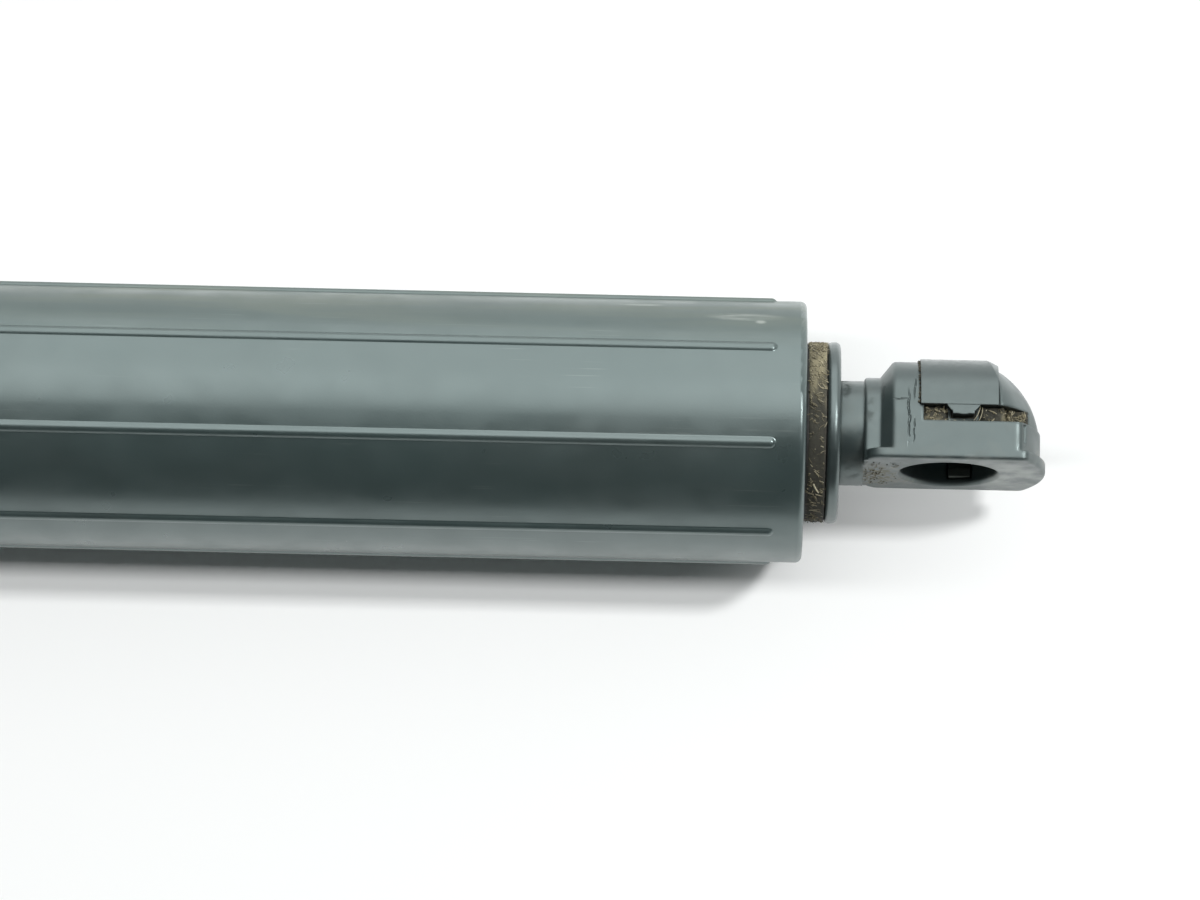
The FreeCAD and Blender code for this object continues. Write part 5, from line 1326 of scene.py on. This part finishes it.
SOFT_BOXES = (
    SoftBox("high_box", (990.0, 140.0, 900.0), (170.0, 90.0), 121.0, Lights.EVERYTHING),
    SoftBox("floor_box", (450.0, -30.0, 900.0), (3000.0, 130.0), 7.1, Lights.FLOOR_ONLY,
            passes=("tip_socket", "tip_clip", "tip_end_plug", "tip_seal_ring")),
    SoftBox("back_panel", (450.0, 415.0, 485.0), (700.0, 1130.0), 1.32, Lights.ALL_BUT_FLOOR),
    SoftBox("top_strip", (450.0, 160.0, 620.0), (700.0, 350.0), 0.6, Lights.ALL_BUT_FLOOR),
    SoftBox("front_bounce", (450.0, -173.0, -17.95), (900.0, 293.0), 0.25, Lights.ALL_BUT_FLOOR,
            (450.0, -173.0, 0.0)),
    SoftBox("back_bounce", (450.0, 33.0, -17.95), (900.0, 26.0), 0.6, Lights.ALL_BUT_FLOOR,
            (450.0, 33.0, 0.0)),
)


@dataclass
class Studio:
    """Floor, sky, lamps and the camera of the photograph."""

    floor_drop: float = 0.05
    floor_size: float = 6000.0
    floor_steps: int = 9
    floor_colour: Colour = (0.93, 0.94, 0.935)
    backdrop: Colour = (0.985, 0.99, 0.985)
    lit_centre: Triple = (350.0, -20.0, -18.0)
    lit_reach: Triple = (2000.0, 420.0, 1000.0)
    camera_elevation: float = 76.6
    camera_roll: float = 1.29
    camera_distance: float = 1600.0
    view_width: float = 165.4
    aim_x: float = 431.95
    aim_down: float = 3.08
    sensor: float = 36.0
    sky_levels: tuple[tuple[float, float], ...] = (
        (0.0, 0.05), (0.3, 0.08), (0.5, 0.22), (0.75, 0.45), (1.0, 0.5))
    sky_warmth: float = 0.97
    sky_gloss: float = 1.6

    def floor(self) -> bpy.types.Object:
        """A pale sheet that the strut lies on, slightly uneven in tone.

        Returns:
            The floor.
        """
        low = CAD_BOX[0].z - self.floor_drop * MM
        half = self.floor_size * MM / 2
        steps = np.linspace(-half, half, self.floor_steps)
        x, y = np.meshgrid(steps + self.aim_x * MM, steps, indexing="ij")
        points = np.stack([x, y, np.full_like(x, low)], -1).reshape(-1, 3)
        mesh = bpy.data.meshes.new("floor")
        mesh.from_pydata(points.tolist(), [], grid_quads(*x.shape)[1].tolist())
        recipe = Recipe("pale_floor")
        shade = recipe.span(recipe.noise(60.0, 3.0), 0.3, 0.7, 0.0, 0.03)
        dark = tuple(0.9 * c for c in self.floor_colour)
        recipe.set_shader({"Base Color": recipe.blend(shade, self.floor_colour, dark),
                           "Roughness": 0.9, "Specular IOR Level": 0.2})
        self.fade_out(recipe)
        mesh.materials.append(recipe.material)
        floor = stand("floor", mesh)
        return floor

    def fade_out(self, recipe: Recipe) -> None:
        """Let the floor turn to the plain white of the backdrop well away from the strut.

        The share of white is 1 less a soft ellipse round the strut, and only camera rays see it.

        Args:
            recipe: the floor's material.
        """
        far = recipe.sum_up("SUBTRACT", 1.0, recipe.patch(self.lit_centre, self.lit_reach))
        seen = recipe.add("ShaderNodeLightPath").outputs["Is Camera Ray"]
        white = recipe.add("ShaderNodeEmission")
        recipe.feed(white.inputs["Color"], self.backdrop)
        recipe.mix_shaders(recipe.times(far, seen), recipe.shader.outputs[0], white.outputs[0],
                           recipe.tree.nodes["Material Output"])

    def sky(self) -> None:
        """Soft light from behind, dark towards the front, and white where the camera sees it.

        Reflections see the white too, the more the further they look to the back.
        """
        world = bpy.data.worlds.new("studio_sky")
        bpy.context.scene.world = world
        sky = Nodes(world)
        sky.tree.nodes.clear()
        split = sky.add("ShaderNodeSeparateXYZ")
        sky.feed(split.inputs[0], sky.add("ShaderNodeTexCoord").outputs["Generated"])
        step = sky.add("ShaderNodeMapRange")
        for index, entry in enumerate((split.outputs["Y"], -1.0, 1.0)):
            sky.feed(step.inputs[index], entry)
        stops = [(spot, (level * self.sky_warmth, level, level)) for spot, level in self.sky_levels]
        lit, seen = sky.add("ShaderNodeBackground"), sky.add("ShaderNodeBackground")
        sky.feed(lit.inputs["Color"], sky.ramp(step.outputs[0], stops))
        sky.feed(seen.inputs["Color"], self.backdrop)
        path = sky.add("ShaderNodeLightPath").outputs
        glossy = sky.add("ShaderNodeMath", operation="MULTIPLY", use_clamp=True)
        sky.feed(glossy.inputs[0], path["Is Glossy Ray"])
        sky.feed(glossy.inputs[1], split.outputs["Y"])
        behind = sky.add("ShaderNodeMath", operation="MULTIPLY_ADD", use_clamp=True)
        for index, entry in enumerate((glossy.outputs[0], self.sky_gloss, path["Is Camera Ray"])):
            sky.feed(behind.inputs[index], entry)
        sky.mix_shaders(behind.outputs[0], lit.outputs[0], seen.outputs[0], sky.add("ShaderNodeOutputWorld"))

    def camera(self) -> None:
        """Place the camera as the photograph was taken: steeply from above, with a slight roll."""
        steep, roll = math.radians(self.camera_elevation), math.radians(self.camera_roll)
        back = Vector((0.0, -math.cos(steep), math.sin(steep)))
        right = Vector((1.0, 0.0, 0.0))
        up = back.cross(right)
        aim = Vector((self.aim_x * MM, 0.0, 0.0)) - up * self.aim_down * MM
        lens = bpy.data.cameras.new("photo_camera")
        lens.sensor_width = self.sensor
        lens.lens = self.sensor * self.camera_distance / self.view_width
        lens.clip_end = 20.0
        holder = stand("photo_camera", lens)
        holder.location = aim + back * self.camera_distance * MM
        turned = Matrix((right, up, back)).transposed() @ Matrix.Rotation(roll, 3, "Z")
        holder.rotation_euler = turned.to_euler()
        bpy.context.scene.camera = holder

    def set_up(self) -> None:
        """Build the whole studio."""
        self.camera()
        self.sky()
        floor = self.floor()
        for box in SOFT_BOXES:
            box.hang(floor)
        bpy.context.scene.view_settings.view_transform = "Standard"


def dress_frame() -> None:
    """Give every solid of the frame its slot's finish."""
    for part in frame["record"]["subparts"]:
        finish = FINISHES[part["material_slot"]]
        node = frame["nodes"][part["node"]]
        for slot in node.material_slots:
            slot.material = material_of(finish)
        log.info("%s wears %s", node.name, finish.name)


def main() -> None:
    """Set up the studio, dress the strut and add its dirt."""
    logging.basicConfig(level=logging.INFO, format="%(name)s: %(message)s")
    Studio().set_up()
    dress_frame()
    for end in (SocketEnd(End.TIP, "tip", 7, strays=TIP_STRAYS),
                SocketEnd(End.BASE, "base", 11, soiling=0.25)):
        for piece in end.gather():
            log.info("%s rides on %s", piece.name, end.body)


if __name__ == "__main__":
    main()
